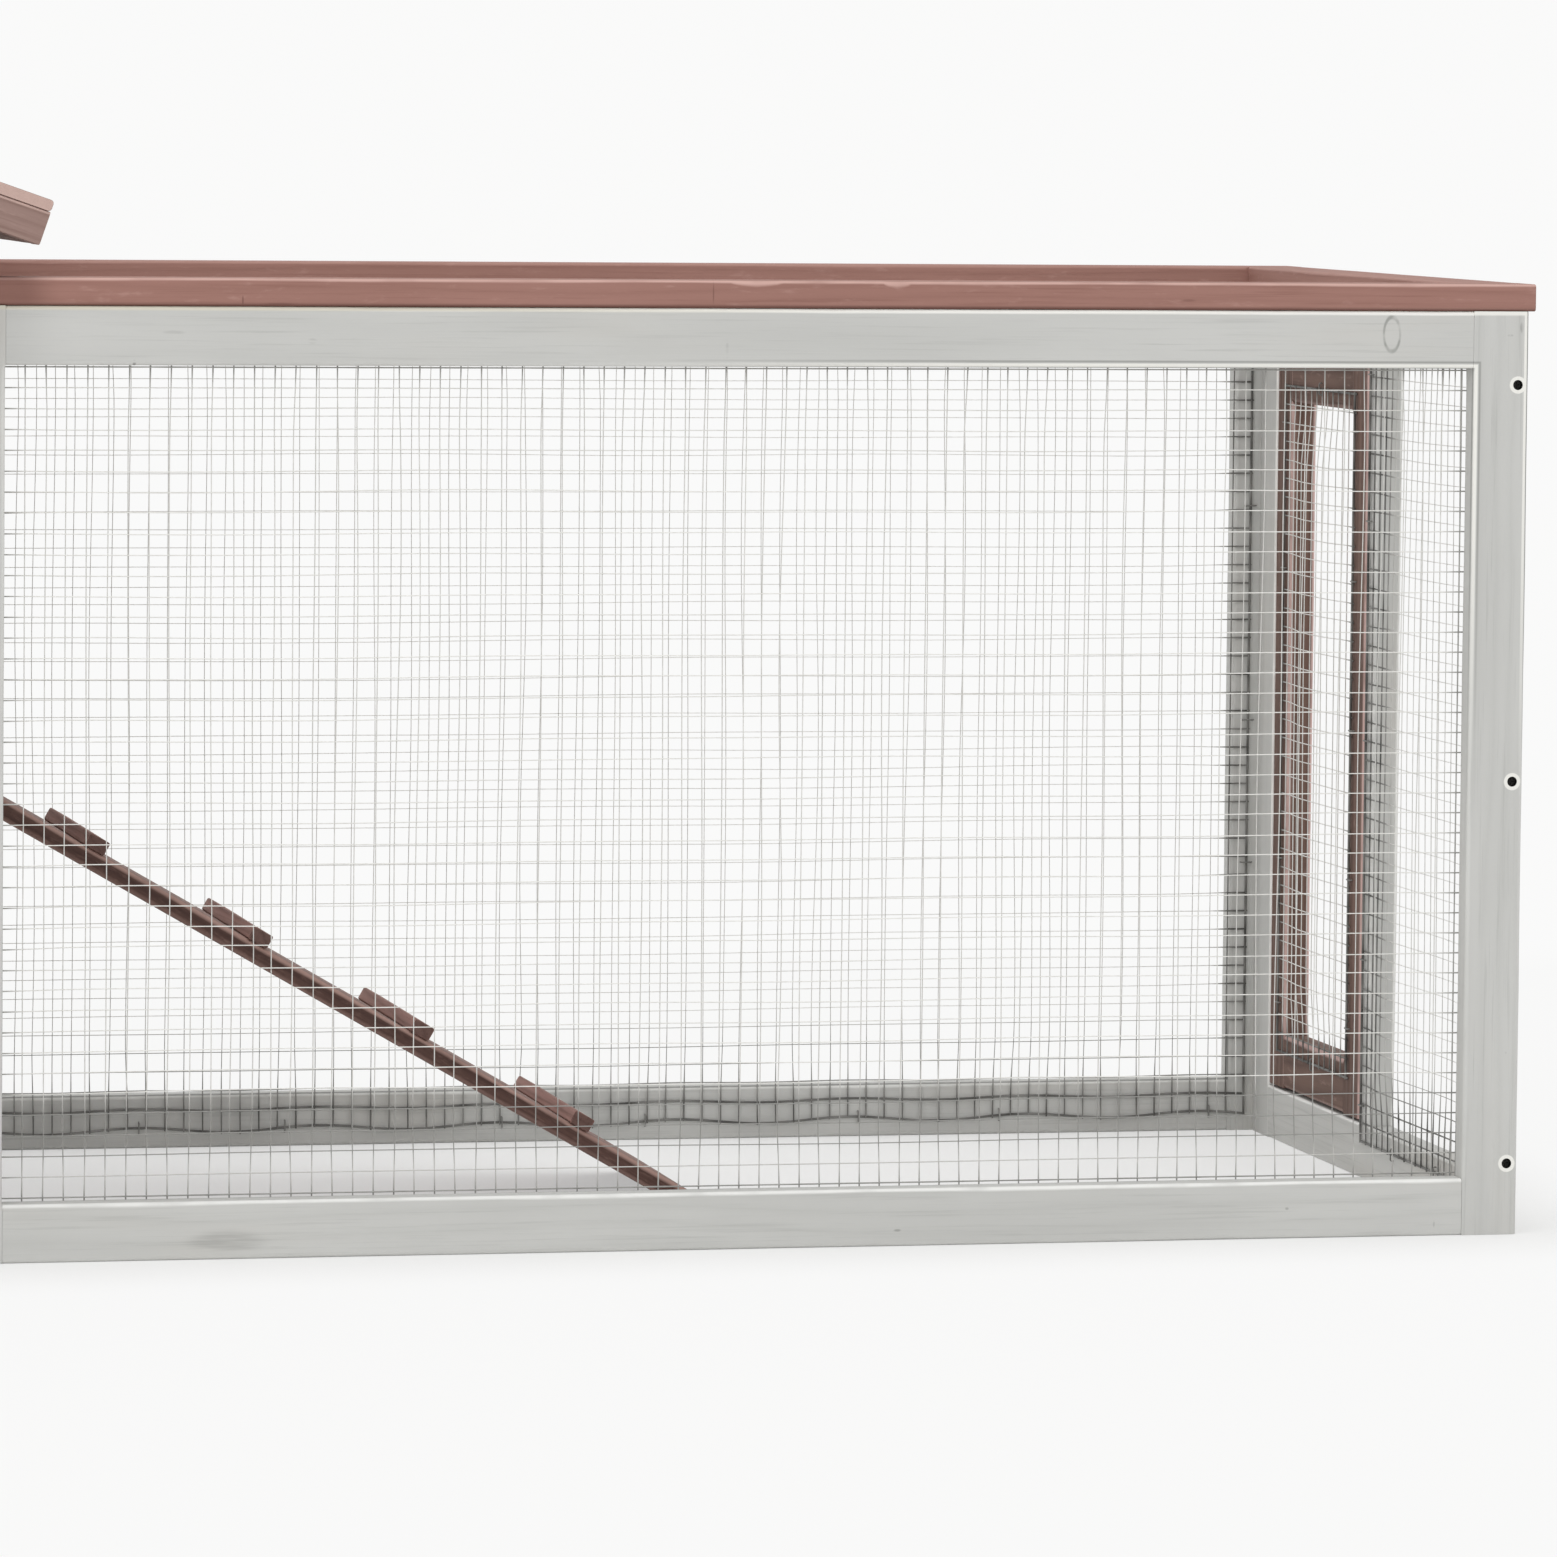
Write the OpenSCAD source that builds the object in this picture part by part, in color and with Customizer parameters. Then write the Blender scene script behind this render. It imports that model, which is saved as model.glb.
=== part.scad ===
// Wide wooden rabbit hutch: a raised house in the middle with a wire-mesh run on each side.
// X runs to the right, Y to the back and Z up; the origin is the middle of the footprint.
// The right run is drawn, and the left one is its mirror image.

/* [House and runs] */
// Width of the house over its side walls
house_w = 1034; // [900:1:1200]
// Length of each run, from the house wall to the outside of its end panel
run_len = 994; // [700:1:1100]
// Depth over the front and back frames
depth = 570; // [500:1:640]
// Height of the frames round a run
run_h = 581; // [570:1:592]
// Height of the top of the house floor
floor_top = 300; // [280:1:320]
// Rise of the house's front and back frames over the frames round a run
wall_rise = 55; // [45:1:100]

/* [Boards] */
// Thickness of frame members, floor, walls and ridge board
board_t = 18; // [14:1:20]
// Face width of frame members
member_w = 36; // [30:1:40]
// Bevel along the long edges of every board
ease = 2; // [1:0.5:3]
// Width of the planks that close the house walls and gables
plank_w = 60; // [50:1:70]
// Thickness of the planks in the back wall and in the house doors
panel_t = 10; // [6:1:14]
// Width of a side doorway of the house
doorway_w = 200; // [150:1:240]
// Planks that a side doorway cuts through
doorway_planks = 4; // [3:1:4]

/* [Top frames] */
// Thickness of the frame on top of a run
top_t = 17; // [12:1:18]
// Face width of the members of the top frame
top_w = 38; // [30:1:45]
// Overhang of the top frame past the end panel
top_over = 4; // [0:0.5:10]

/* [Welded mesh] */
// Spacing of the wires
net_pitch = 50; // [50:1:90]
// Diameter of a wire
net_wire = 1.2; // [1:0.1:1.6]
// Overlap of a mesh sheet on the frame round it
net_lap = 12; // [8:0.5:14]
// Overlap of the back sheet on the bottom rail
low_lap = 23; // [12:0.5:30]
// Spacing of the staples
staple_pitch = 123; // [80:1:200]

/* [End doors] */
// Width of the door opening in an end panel
end_open = 221; // [180:1:230]
// Width of the end panel stile that carries the hinges
hinge_stile_w = 40; // [34:1:50]
// Width of the stile between the fixed pane and the door
mid_stile_w = 20; // [18:1:30]
// Gap round a door
door_gap = 2; // [1:0.1:3]
// Distance from a door's ends to its hinges
hinge_inset = 56; // [40:1:80]

/* [Hinges and turn buttons] */
// Height of a hinge
hinge_h = 40; // [30:1:50]
// Radius of a hinge knuckle
knuckle_r = 3; // [2.6:0.1:3.2]
// Radius of a hinge pin
pin_r = 1.5; // [1.2:0.1:1.8]
// Width of a hinge leaf from the pin
leaf_w = 20; // [15:0.5:22]
// Thickness of a hinge leaf
leaf_t = 1.5; // [1:0.1:2]
// Length of a turn button on an end door
button_len = 56; // [50:1:70]
// Length of its tail, on the other side of the pivot screw
button_tail = 14; // [12:1:16]
// Length of the turn button between the house doors
house_button_len = 70; // [60:1:90]
// Width of a turn button
button_w = 14; // [12:1:17]
// Thickness of a turn button
button_t = 7; // [5:0.5:9]

/* [Panel screws] */
// Distance of the screws from the outer edge of the stile
screw_inset = 7; // [5:0.5:12]
// Height of the lowest screw
screw_low = 45; // [20:1:80]
// Distance of the highest screw below the top of the frame
screw_high = 46; // [20:1:80]
// Radius of a screw hole
screw_hole_r = 3.2; // [2.5:0.1:4]
// Depth of a screw hole
screw_hole_d = 7; // [5:0.5:9]

/* [Ramps] */
// Slope of the ramp in degrees
ramp_slope = 30; // [26:0.5:34]
// Width of the ramp
ramp_w = 196; // [140:1:220]
// Thickness of the ramp board
ramp_t = 12; // [8:0.5:15]
// Drop from the house floor to the ramp's hinge pin
ramp_drop = 17.8; // [16:0.1:22]
// Width of the leaf of a ramp hinge
ramp_leaf_w = 16; // [12:0.5:18]
// Distance along the ramp to the middle of the first cleat
cleat_first = 122.4; // [60:0.1:140]
// Spacing of the cleats along the ramp
cleat_pitch = 120; // [80:1:160]
// Width of a cleat
cleat_w = 14; // [10:1:24]
// Height of a cleat
cleat_h = 9; // [6:0.5:14]

/* [Roof] */
// Slope of the roof in degrees
roof_pitch = 19; // [17:0.5:22]
// Reach of the eaves past the house walls
eave_reach = 63.4; // [50:0.1:70]
// Overhang of the roof at front and back
roof_over = 15; // [14:0.5:25]
// Thickness of the roof planks
deck_t = 7; // [5:0.5:12]
// Width of the roof planks
deck_plank_w = 96; // [70:1:120]
// Depth of the battens under the planks
batten_t = 21; // [18:1:26]
// Width of the battens along the eaves and the ridge
batten_w = 34; // [25:1:40]
// Width of the ridge board
ridge_w = 60; // [50:1:80]
// Rise of the ridge board over the roof, which leaves room for the hinges
ridge_rise = 8.4; // [8:0.1:12]
// Distance of the roof hinges from the ends of the roof
roof_hinge_inset = 100; // [60:1:150]

/* [House front] */
// Height of the tray opening
tray_open_h = 42; // [36:1:50]
// Width of the rail over the tray
tray_rail_w = 24; // [18:1:30]
// Height of the tray's sides
tray_side_h = 25; // [15:1:28]
// Thickness of the tray's sides
tray_side_t = 10; // [6:1:14]
// Thickness of the tray's bottom
tray_base_t = 3; // [2:0.5:6]
// Radius of the tray's knob
knob_r = 10; // [7:0.5:13]

/* [Hidden] */
$fn = 48;
seat = 0.3;         // gap between a moving piece and what it rests on
running = 0.05;     // radial clearance of a pin in its bore
weld = 0.05;        // gap between two wires where they are welded
staple_wire = 1.2;
staple_len = 9;
top_net_in = 5;     // gap between the edge of the top sheet and the frames round it
button_bore_r = 2.05;
slide_gap = 11;     // side gap between the tray and the door posts
knob_len = 12;
bearer_inset = 60;
hinge_gap = 0.3;    // gap between two knuckles of a hinge
joint = 0.1;        // glue line at the end of a rail
rail_x = [joint, 0, 0];
rail_y = [0, joint, 0];
post_z = [0, 0, joint];

grey = [0.78, 0.79, 0.77];
brown = [0.60, 0.43, 0.38];
dark_brown = [0.48, 0.34, 0.30];
wire_grey = [0.72, 0.73, 0.74];
steel = [0.62, 0.63, 0.65];
tray_tan = [0.72, 0.60, 0.45];

wall_h = run_h + wall_rise;
net_t = 2 * net_wire + weld;
house_x = house_w / 2;
end_x = house_x + run_len;
end_in_x = end_x - board_t;
front_y = -depth / 2;
inner_y = depth / 2 - board_t;
run_open_w = run_len - 2 * member_w;
run_open_h = run_h - 2 * member_w;

pane_y0 = member_w - inner_y;
door_open_y1 = inner_y - hinge_stile_w;
door_open_y0 = door_open_y1 - end_open;
pane_y1 = door_open_y0 - mid_stile_w;

floor_z = floor_top - board_t;
sill_z = floor_top - member_w;
post_x = house_x - member_w;
tray_top = floor_top + tray_open_h;
house_door_z0 = tray_top + tray_rail_w + door_gap;
house_door_z1 = wall_h - member_w - door_gap;
house_door_x0 = member_w / 2 + door_gap;
house_door_x1 = post_x - door_gap;
house_door_mid = (house_door_z0 + house_door_z1) / 2;

hinge_seat = knuckle_r + seat;
leaf_start = knuckle_r + 2 * hinge_gap;
knuckle_h = (hinge_h - 2 * hinge_gap) / 3;

ramp_pin = [house_x + hinge_seat, 0, floor_top - ramp_drop];
ramp_start = leaf_start;
ramp_end = (ramp_pin.z - seat + hinge_seat * cos(ramp_slope)) / sin(ramp_slope);
cleat_n = floor((ramp_end - cleat_first - cleat_w) / cleat_pitch) + 1;
ramp_hinge_y = ramp_w / 2 - hinge_h * 3 / 4;

roof_t = deck_t + batten_t;
roof_y = depth / 2 + roof_over;
wall_top = wall_h + batten_t / cos(roof_pitch);
function roof_top(x) = wall_h + seat + roof_t / cos(roof_pitch) + (house_x - x) * tan(roof_pitch);
roof_start_x = ridge_w / 2 + roof_t * sin(roof_pitch) + 1;
roof_len = (house_x + eave_reach - roof_start_x) / cos(roof_pitch);
rake_w = roof_over + board_t - 1;
ridge_z = roof_top(ridge_w / 2) + ridge_rise;
gable_top = wall_h + (house_x - ridge_w / 2) * tan(roof_pitch);
roof_pin_x = ridge_w / 2 + hinge_seat;
roof_pin = [roof_pin_x, 0, roof_top(roof_pin_x) + hinge_seat / cos(roof_pitch)];
roof_hinge_y = roof_y - roof_hinge_inset;

// Board profile: a rectangle a by b with its four corners bevelled
function eased(a, b) = let (e = min(ease, a / 4, b / 4))
    [[e, 0], [a - e, 0], [a, e], [a, b - e], [a - e, b], [e, b], [0, b - e], [0, e]];

// Board between two corners, with its grain along axis 0, 1 or 2 and its long edges bevelled
module board(lo, hi, grain) {
    size = hi - lo;
    translate(lo)
        if (grain == 2) linear_extrude(size.z) polygon(eased(size.x, size.y));
        else if (grain == 1) translate([0, size.y, 0]) rotate([90, 0, 0])
            linear_extrude(size.y) polygon(eased(size.x, size.z));
        else rotate([90, 0, 90]) linear_extrude(size.x) polygon(eased(size.y, size.z));
}

// Board that stands in from its two corners by the joint gap along each axis
module fitted(lo, hi, grain, gap) board(lo + gap, hi - gap, grain);

// Copies at the front and at the back
module both_faces() {
    children();
    mirror([0, 1, 0]) children();
}

// Frame across Y on the front face: full-height stiles with rails between them
module face_frame(x0, x1, height) {
    for (x = [x0, x1 - member_w])
        board([x, front_y, 0], [x + member_w, front_y + board_t, height], 2);
    for (z = [0, height - member_w])
        fitted([x0 + member_w, front_y, z], [x1 - member_w, front_y + board_t, z + member_w], 0, rail_x);
}

// Heights of the screws that hold a face frame to the end panel
function screw_zs() = [screw_low, run_h / 2 - 4.5, run_h - screw_high];

module run_face_frame() {
    color(grey) difference() {
        face_frame(house_x, end_x, run_h);
        for (z = screw_zs())
            translate([end_x - screw_inset, front_y, z]) rotate([-90, 0, 0])
                translate([0, 0, -1]) cylinder(r = screw_hole_r, h = screw_hole_d + 1);
    }
}

module front_frame() run_face_frame();
module back_frame() mirror([0, 1, 0]) run_face_frame();

// Number of gaps between the wires across a sheet, and the spacing of those wires
function net_gaps(size) = max(1, round(size / net_pitch));
function net_step(size) = (size - net_wire) / net_gaps(size);

// Welded mesh w by h on the XY plane: wires along X on the wood, and wires along Y welded on them
module net(w, h) {
    r = net_wire / 2;
    color(wire_grey) {
        for (j = [0:net_gaps(h)])
            translate([0, r + j * net_step(h), r]) rotate([0, 90, 0]) cylinder(r = r, h = w);
        for (i = [0:net_gaps(w)])
            translate([r + i * net_step(w), 0, net_t - r]) rotate([-90, 0, 0]) cylinder(r = r, h = h);
    }
}

// Staple on the XY plane: a crown along X over a sheet's outer wire, with two legs down to the wood
module staple() {
    translate([-staple_len / 2, -staple_wire / 2, 0]) difference() {
        cube([staple_len, staple_wire, net_t + staple_wire]);
        translate([staple_wire, -1, -1])
            cube([staple_len - 2 * staple_wire, staple_wire + 2, net_t + 1]);
    }
}

// Places of the staples along a side of a sheet: near each step of the pitch, halfway between two wires
function staple_places(size) = let (
        n = floor((size - 2 * staple_len) / staple_pitch),
        first = (size - n * staple_pitch) / 2)
    [for (i = [0:n]) net_wire / 2 + (floor((first + i * staple_pitch) / net_step(size)) + 0.5) * net_step(size)];

// Staples over the outer wires of a sheet
module staples(w, h) {
    color(steel) {
        for (x = staple_places(w), y = [net_wire / 2, h - net_wire / 2])
            translate([x, y, 0]) rotate(90) staple();
        for (y = staple_places(h), x = [net_wire / 2, w - net_wire / 2])
            translate([x, y, 0]) staple();
    }
}

// Places of the sheets, each drawn with its outer face on the wood and its inner face towards +Z
module on_back(x0, z0) translate([x0, inner_y, z0]) rotate([90, 0, 0]) children();
module on_end(y1, z0) translate([end_in_x, y1, z0]) rotate([90, 0, -90]) children();

run_net_w = run_open_w + 2 * net_lap;
run_net_x = house_x + member_w - net_lap;
module at_front_net() mirror([0, 1, 0]) on_back(run_net_x, member_w - net_lap) children();
module at_back_net() on_back(run_net_x, member_w - low_lap) children();
module at_pane_net() on_end(pane_y1 + net_lap, member_w - net_lap) children();
module at_top_net() translate([house_x + top_w - net_lap, inner_y - top_net_in, run_h])
    rotate([180, 0, 0]) children();
module at_lower_net() on_back(-post_x - net_lap, member_w - net_lap) children();
module at_door_net() on_end(end_door_y1 - member_w + net_lap, member_w + door_gap + member_w - net_lap)
    children();

front_net = [run_net_w, run_open_h + 2 * net_lap];
back_net = [run_net_w, run_open_h + net_lap + low_lap];
pane_net = [pane_y1 - pane_y0 + 2 * net_lap, run_open_h + 2 * net_lap];
top_net = [end_in_x - top_net_in - house_x - top_w + net_lap, 2 * (inner_y - top_net_in)];
lower_net = [2 * (post_x + net_lap), sill_z - member_w + 2 * net_lap];

module front_mesh() at_front_net() net(front_net.x, front_net.y);
module back_mesh() at_back_net() net(back_net.x, back_net.y);
module end_mesh() at_pane_net() net(pane_net.x, pane_net.y);
module top_mesh() at_top_net() net(top_net.x, top_net.y);
module lower_back_mesh() at_lower_net() net(lower_net.x, lower_net.y);
module lower_front_mesh() mirror([0, 1, 0]) lower_back_mesh();

// End panel: a fixed pane at the front and a door opening at the back
module end_frame() {
    color(grey) {
        board([end_in_x, -inner_y, 0], [end_x, pane_y0, run_h], 2);
        board([end_in_x, door_open_y1, 0], [end_x, inner_y, run_h], 2);
        fitted([end_in_x, pane_y1, member_w], [end_x, door_open_y0, run_h - member_w], 2, post_z);
        for (z = [0, run_h - member_w])
            fitted([end_in_x, pane_y0, z], [end_x, door_open_y1, z + member_w], 1, rail_y);
    }
}

end_door_y0 = door_open_y0 + door_gap;
end_door_y1 = door_open_y1 - door_gap;
end_door_z0 = member_w + door_gap;
end_door_z1 = run_h - member_w - door_gap;
end_door_net = [end_door_y1 - end_door_y0 - 2 * (member_w - net_lap),
    end_door_z1 - end_door_z0 - 2 * (member_w - net_lap)];

module end_door_frame() {
    color(dark_brown) {
        for (y = [end_door_y0, end_door_y1 - member_w])
            board([end_in_x, y, end_door_z0], [end_x, y + member_w, end_door_z1], 2);
        for (z = [end_door_z0, end_door_z1 - member_w])
            fitted([end_in_x, end_door_y0 + member_w, z],
                [end_x, end_door_y1 - member_w, z + member_w], 1, rail_y);
    }
}

module end_door_mesh() at_door_net() net(end_door_net.x, end_door_net.y);

// Frame that lies on top of a run
module top_frame() {
    x1 = end_x + top_over;
    y1 = depth / 2;
    z1 = run_h + top_t;
    color(brown) {
        for (y = [-y1, y1 - top_w])
            board([house_x, y, run_h], [x1, y + top_w, z1], 0);
        for (x = [house_x, x1 - top_w])
            fitted([x, top_w - y1, run_h], [x + top_w, y1 - top_w, z1], 1, rail_y);
    }
}

// Ramp, drawn along X from its hinge pin and then turned to its slope
module on_ramp() translate(ramp_pin) rotate([0, ramp_slope, 0]) children();

module ramp_board() {
    color(dark_brown) on_ramp()
        board([ramp_start, -ramp_w / 2, hinge_seat], [ramp_end, ramp_w / 2, hinge_seat + ramp_t], 0);
}

module ramp_cleats() {
    color(brown) on_ramp()
        for (i = [0:cleat_n - 1])
            let (x = cleat_first + i * cleat_pitch - cleat_w / 2, z = hinge_seat + ramp_t)
                board([x, -ramp_w / 2, z], [x + cleat_w, ramp_w / 2, z + cleat_h], 1);
}

// House side wall: planks from the floor to the roof, with the doorway between the lower ones
module house_wall() {
    n = ceil((wall_top - floor_top) / plank_w);
    x0 = house_x - board_t;
    color(grey)
        for (i = [0:n - 1]) {
            z0 = floor_top + i * plank_w;
            z1 = min(wall_top, z0 + plank_w);
            if (i < doorway_planks) {
                fitted([x0, -inner_y, z0], [house_x, -doorway_w / 2, z1], 1, post_z);
                fitted([x0, doorway_w / 2, z0], [house_x, inner_y, z1], 1, post_z);
            } else fitted([x0, -inner_y, z0], [house_x, inner_y, z1], 1, post_z);
        }
}

// House frames on the front face and, turned round, on the back face
module house_face() {
    face_frame(-house_x, house_x, wall_h);
    fitted([-post_x, front_y, sill_z], [post_x, front_y + board_t, floor_top], 0, rail_x);
}

module house_front_frame() {
    color(grey) {
        house_face();
        fitted([-post_x, front_y, tray_top], [post_x, front_y + board_t, tray_top + tray_rail_w],
            0, rail_x);
        fitted([-member_w / 2, front_y, tray_top + tray_rail_w],
            [member_w / 2, front_y + board_t, wall_h - member_w], 2, post_z);
    }
}

module house_back_frame() color(grey) mirror([0, 1, 0]) house_face();

module house_back_wall() {
    z_end = wall_h - member_w;
    n = ceil((z_end - floor_top) / plank_w);
    y0 = depth / 2 - (board_t + panel_t) / 2;
    color(grey)
        for (i = [0:n - 1])
            let (z0 = floor_top + i * plank_w)
                fitted([-post_x, y0, z0], [post_x, y0 + panel_t, min(z_end, z0 + plank_w)], 0, post_z);
}

module house_floor() {
    color(grey) translate([-house_x, -inner_y, floor_z]) cube([house_w, 2 * inner_y, board_t]);
}

module floor_bearers() {
    y1 = inner_y - net_t - staple_wire - seat;
    color(grey)
        for (x = [bearer_inset - house_x, -board_t / 2, house_x - bearer_inset - board_t])
            board([x, -y1, sill_z], [x + board_t, y1, floor_z], 1);
}

// House door: a frame with three upright planks in it
module house_door() {
    px0 = house_door_x0 + member_w;
    px1 = house_door_x1 - member_w;
    py0 = front_y + (board_t - panel_t) / 2;
    n = round((px1 - px0) / (2 * plank_w));
    w = (px1 - px0) / n;
    color(brown) {
        for (x = [house_door_x0, px1])
            board([x, front_y, house_door_z0], [x + member_w, front_y + board_t, house_door_z1], 2);
        for (z = [house_door_z0, house_door_z1 - member_w])
            fitted([px0, front_y, z], [px1, front_y + board_t, z + member_w], 0, rail_x);
        for (i = [0:n - 1])
            fitted([px0 + i * w, py0, house_door_z0 + member_w],
                [px0 + (i + 1) * w, py0 + panel_t, house_door_z1 - member_w], 2, rail_x + post_z);
    }
}

// Gable planks with ends cut to the roof's slope, and a post that carries the ridge board
module gable_boards() {
    n = ceil((gable_top - wall_h) / plank_w);
    color(grey) both_faces() {
        for (i = [0:n - 1]) {
            z0 = wall_h + i * plank_w;
            z1 = min(gable_top, z0 + plank_w) - joint;
            a = house_x - (z0 - wall_h) / tan(roof_pitch);
            b = house_x - (z1 - wall_h) / tan(roof_pitch);
            translate([0, front_y + board_t, 0]) rotate([90, 0, 0])
                linear_extrude(board_t) polygon([[-a, z0], [a, z0], [b, z1], [-b, z1]]);
        }
        board([-ridge_w / 2, front_y, gable_top], [ridge_w / 2, front_y + board_t, ridge_z], 2);
    }
}

module ridge_board() {
    color(brown) board([-ridge_w / 2, -roof_y, ridge_z], [ridge_w / 2, roof_y, ridge_z + board_t], 1);
}

// Roof half, drawn flat from its upper edge and then turned to its slope
module on_roof() translate([roof_start_x, 0, roof_top(roof_start_x)]) rotate([0, roof_pitch, 0]) children();

module roof_deck() {
    n = ceil(roof_len / deck_plank_w);
    color(brown) on_roof()
        for (i = [0:n - 1])
            fitted([i * deck_plank_w, -roof_y, -deck_t],
                [min(roof_len, (i + 1) * deck_plank_w), roof_y, 0], 1, rail_x);
}

module roof_battens() {
    y1 = roof_y - rake_w;
    color(brown) on_roof() {
        both_faces() board([0, -roof_y, -roof_t], [roof_len, -y1, -deck_t], 0);
        for (x = [0, roof_len - batten_w])
            fitted([x, -y1, -roof_t], [x + batten_w, y1, -deck_t], 1, rail_y);
    }
}

// Tray that slides out under the house doors
module litter_tray() {
    x1 = post_x - slide_gap;
    z0 = floor_top + seat;
    z1 = z0 + tray_base_t;
    z2 = z1 + tray_side_h;
    y1 = inner_y - 5;
    color(tray_tan) {
        translate([-x1, joint - inner_y, z0]) cube([2 * x1, inner_y + y1 - joint, tray_base_t]);
        for (x = [-x1, x1 - tray_side_t])
            fitted([x, -inner_y, z1], [x + tray_side_t, y1, z2], 1, rail_y + post_z);
        for (y = [-inner_y, y1 - tray_side_t])
            fitted([tray_side_t - x1, y, z1], [x1 - tray_side_t, y + tray_side_t, z2],
                0, rail_x + rail_y + post_z);
    }
    color(grey) board([door_gap - post_x, front_y, z0],
        [post_x - door_gap, front_y + board_t, tray_top - door_gap / 2], 0);
    color(brown) translate([0, front_y - joint, floor_top + tray_open_h / 2]) rotate([90, 0, 0])
        rotate_extrude() polygon([[0, 0], [knob_r * 0.6, 0], [knob_r * 0.5, knob_len * 0.4],
            [knob_r, knob_len * 0.6], [knob_r, knob_len * 0.85], [knob_r * 0.8, knob_len], [0, knob_len]]);
}

// Turns the XY plane so that X runs along a leaf and Y runs into the wood under it
module facing(p, along, into) {
    axis = cross(along, into);
    multmatrix([[along.x, into.x, axis.x, p.x], [along.y, into.y, axis.y, p.y],
        [along.z, into.z, axis.z, p.z], [0, 0, 0, 1]]) children();
}

// Hinge leaf with the pin along Z at the origin and a knuckle over each height in spans
module leaf(spans, width) {
    color(steel) difference() {
        union() {
            translate([leaf_start, hinge_seat - leaf_t, -hinge_h / 2])
                cube([width - leaf_start, leaf_t, hinge_h]);
            for (s = spans) {
                translate([0, 0, s[0]]) cylinder(r = knuckle_r, h = s[1] - s[0]);
                translate([knuckle_r / 2, hinge_seat - leaf_t, s[0]])
                    cube([leaf_start, leaf_t, s[1] - s[0]]);
            }
        }
        translate([0, 0, -hinge_h]) cylinder(r = pin_r + running, h = 2 * hinge_h);
    }
}

mid_span = [[-knuckle_h / 2, knuckle_h / 2]];
end_spans = [[-hinge_h / 2, -knuckle_h / 2 - hinge_gap], [knuckle_h / 2 + hinge_gap, hinge_h / 2]];
DOWN_RAMP = [cos(ramp_slope), 0, -sin(ramp_slope)];
UP_RAMP = [sin(ramp_slope), 0, cos(ramp_slope)];
DOWN_ROOF = [cos(roof_pitch), 0, -sin(roof_pitch)];
INTO_ROOF = [-sin(roof_pitch), 0, -cos(roof_pitch)];

// Each row is a hinge: pin middle, direction of the moving leaf and into its wood, then the same two
// for the fixed leaf, and the leaf width
function end_door_hinges() = [for (z = [end_door_z0 + hinge_inset, end_door_z1 - hinge_inset])
    [[end_x + hinge_seat, door_open_y1 - door_gap / 2, z], [0, -1, 0], [-1, 0, 0],
        [0, 1, 0], [-1, 0, 0], leaf_w]];
function house_door_hinges() = [for (z = [house_door_z0 + hinge_inset, house_door_z1 - hinge_inset])
    [[post_x - door_gap / 2, front_y - hinge_seat, z], [-1, 0, 0], [0, 1, 0],
        [1, 0, 0], [0, 1, 0], leaf_w]];
function ramp_hinges() = [for (y = [-ramp_hinge_y, ramp_hinge_y])
    [ramp_pin + [0, y, 0], DOWN_RAMP, UP_RAMP, [0, 0, 1], [-1, 0, 0], ramp_leaf_w]];
function roof_hinges() = [for (y = [-roof_hinge_y, roof_hinge_y])
    [roof_pin + [0, y, 0], DOWN_ROOF, INTO_ROOF, [0, 0, 1], [-1, 0, 0], leaf_w]];
all_hinges = concat(end_door_hinges(), house_door_hinges(), ramp_hinges(), roof_hinges());

module moving_leaves(hinges) for (h = hinges) facing(h[0], h[1], h[2]) leaf(mid_span, h[5]);
module end_door_leaves() moving_leaves(end_door_hinges());
module house_door_leaves() moving_leaves(house_door_hinges());
module ramp_leaves() moving_leaves(ramp_hinges());
module roof_leaves() moving_leaves(roof_hinges());

module both_sides() {
    children();
    mirror([1, 0, 0]) children();
}

module hinge_plates() both_sides()
    for (h = all_hinges) facing(h[0], h[3], h[4]) leaf(end_spans, h[5]);

// Pins with a flat head at each end, which keeps them in their knuckles
module hinge_pins() {
    head = 1;
    color(steel) both_sides()
        for (h = all_hinges) facing(h[0], h[1], h[2]) {
            translate([0, 0, -hinge_h / 2]) cylinder(r = pin_r, h = hinge_h);
            for (z = [-hinge_h / 2 - head, hinge_h / 2])
                translate([0, 0, z]) cylinder(r = (pin_r + knuckle_r) / 2, h = head);
        }
}

// Turn button: a round-ended bar on a pivot screw, drawn upright on the XZ plane with its back at y 0
// and its tail below the screw
module turn_button(len, tail) {
    r = button_w / 2;
    color(brown) rotate([90, 0, 0]) linear_extrude(button_t) difference() {
        union() {
            translate([-r, r - tail]) square([button_w, len - button_w]);
            for (y = [r - tail, len - tail - r]) translate([0, y]) circle(r = r);
        }
        circle(r = button_bore_r);
    }
}

// Pivot screw: its shank fills the button's bore and its head keeps the button on
module pivot_screw() {
    color(steel) rotate([90, 0, 0]) {
        cylinder(r = button_bore_r - running, h = button_t + 2 * seat);
        translate([0, 0, button_t + 2 * seat]) cylinder(r1 = 4.5, r2 = 3, h = 2);
    }
}

// An end door's button lies along the rail over the door, and its arm turns down over the door
end_button_at = [end_x, door_open_y0 + door_gap + member_w / 2, run_h - member_w / 2];
module end_door_button() translate(end_button_at + [seat, 0, 0]) rotate([0, 0, 90]) rotate([0, 90, 0])
    turn_button(button_len, button_tail);
module house_door_button() translate([0, front_y - seat, house_door_mid])
    turn_button(house_button_len, house_button_len / 2);
module button_screws() {
    both_sides() translate(end_button_at) rotate([0, 0, 90]) pivot_screw();
    translate([0, front_y, house_door_mid]) pivot_screw();
}

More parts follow.
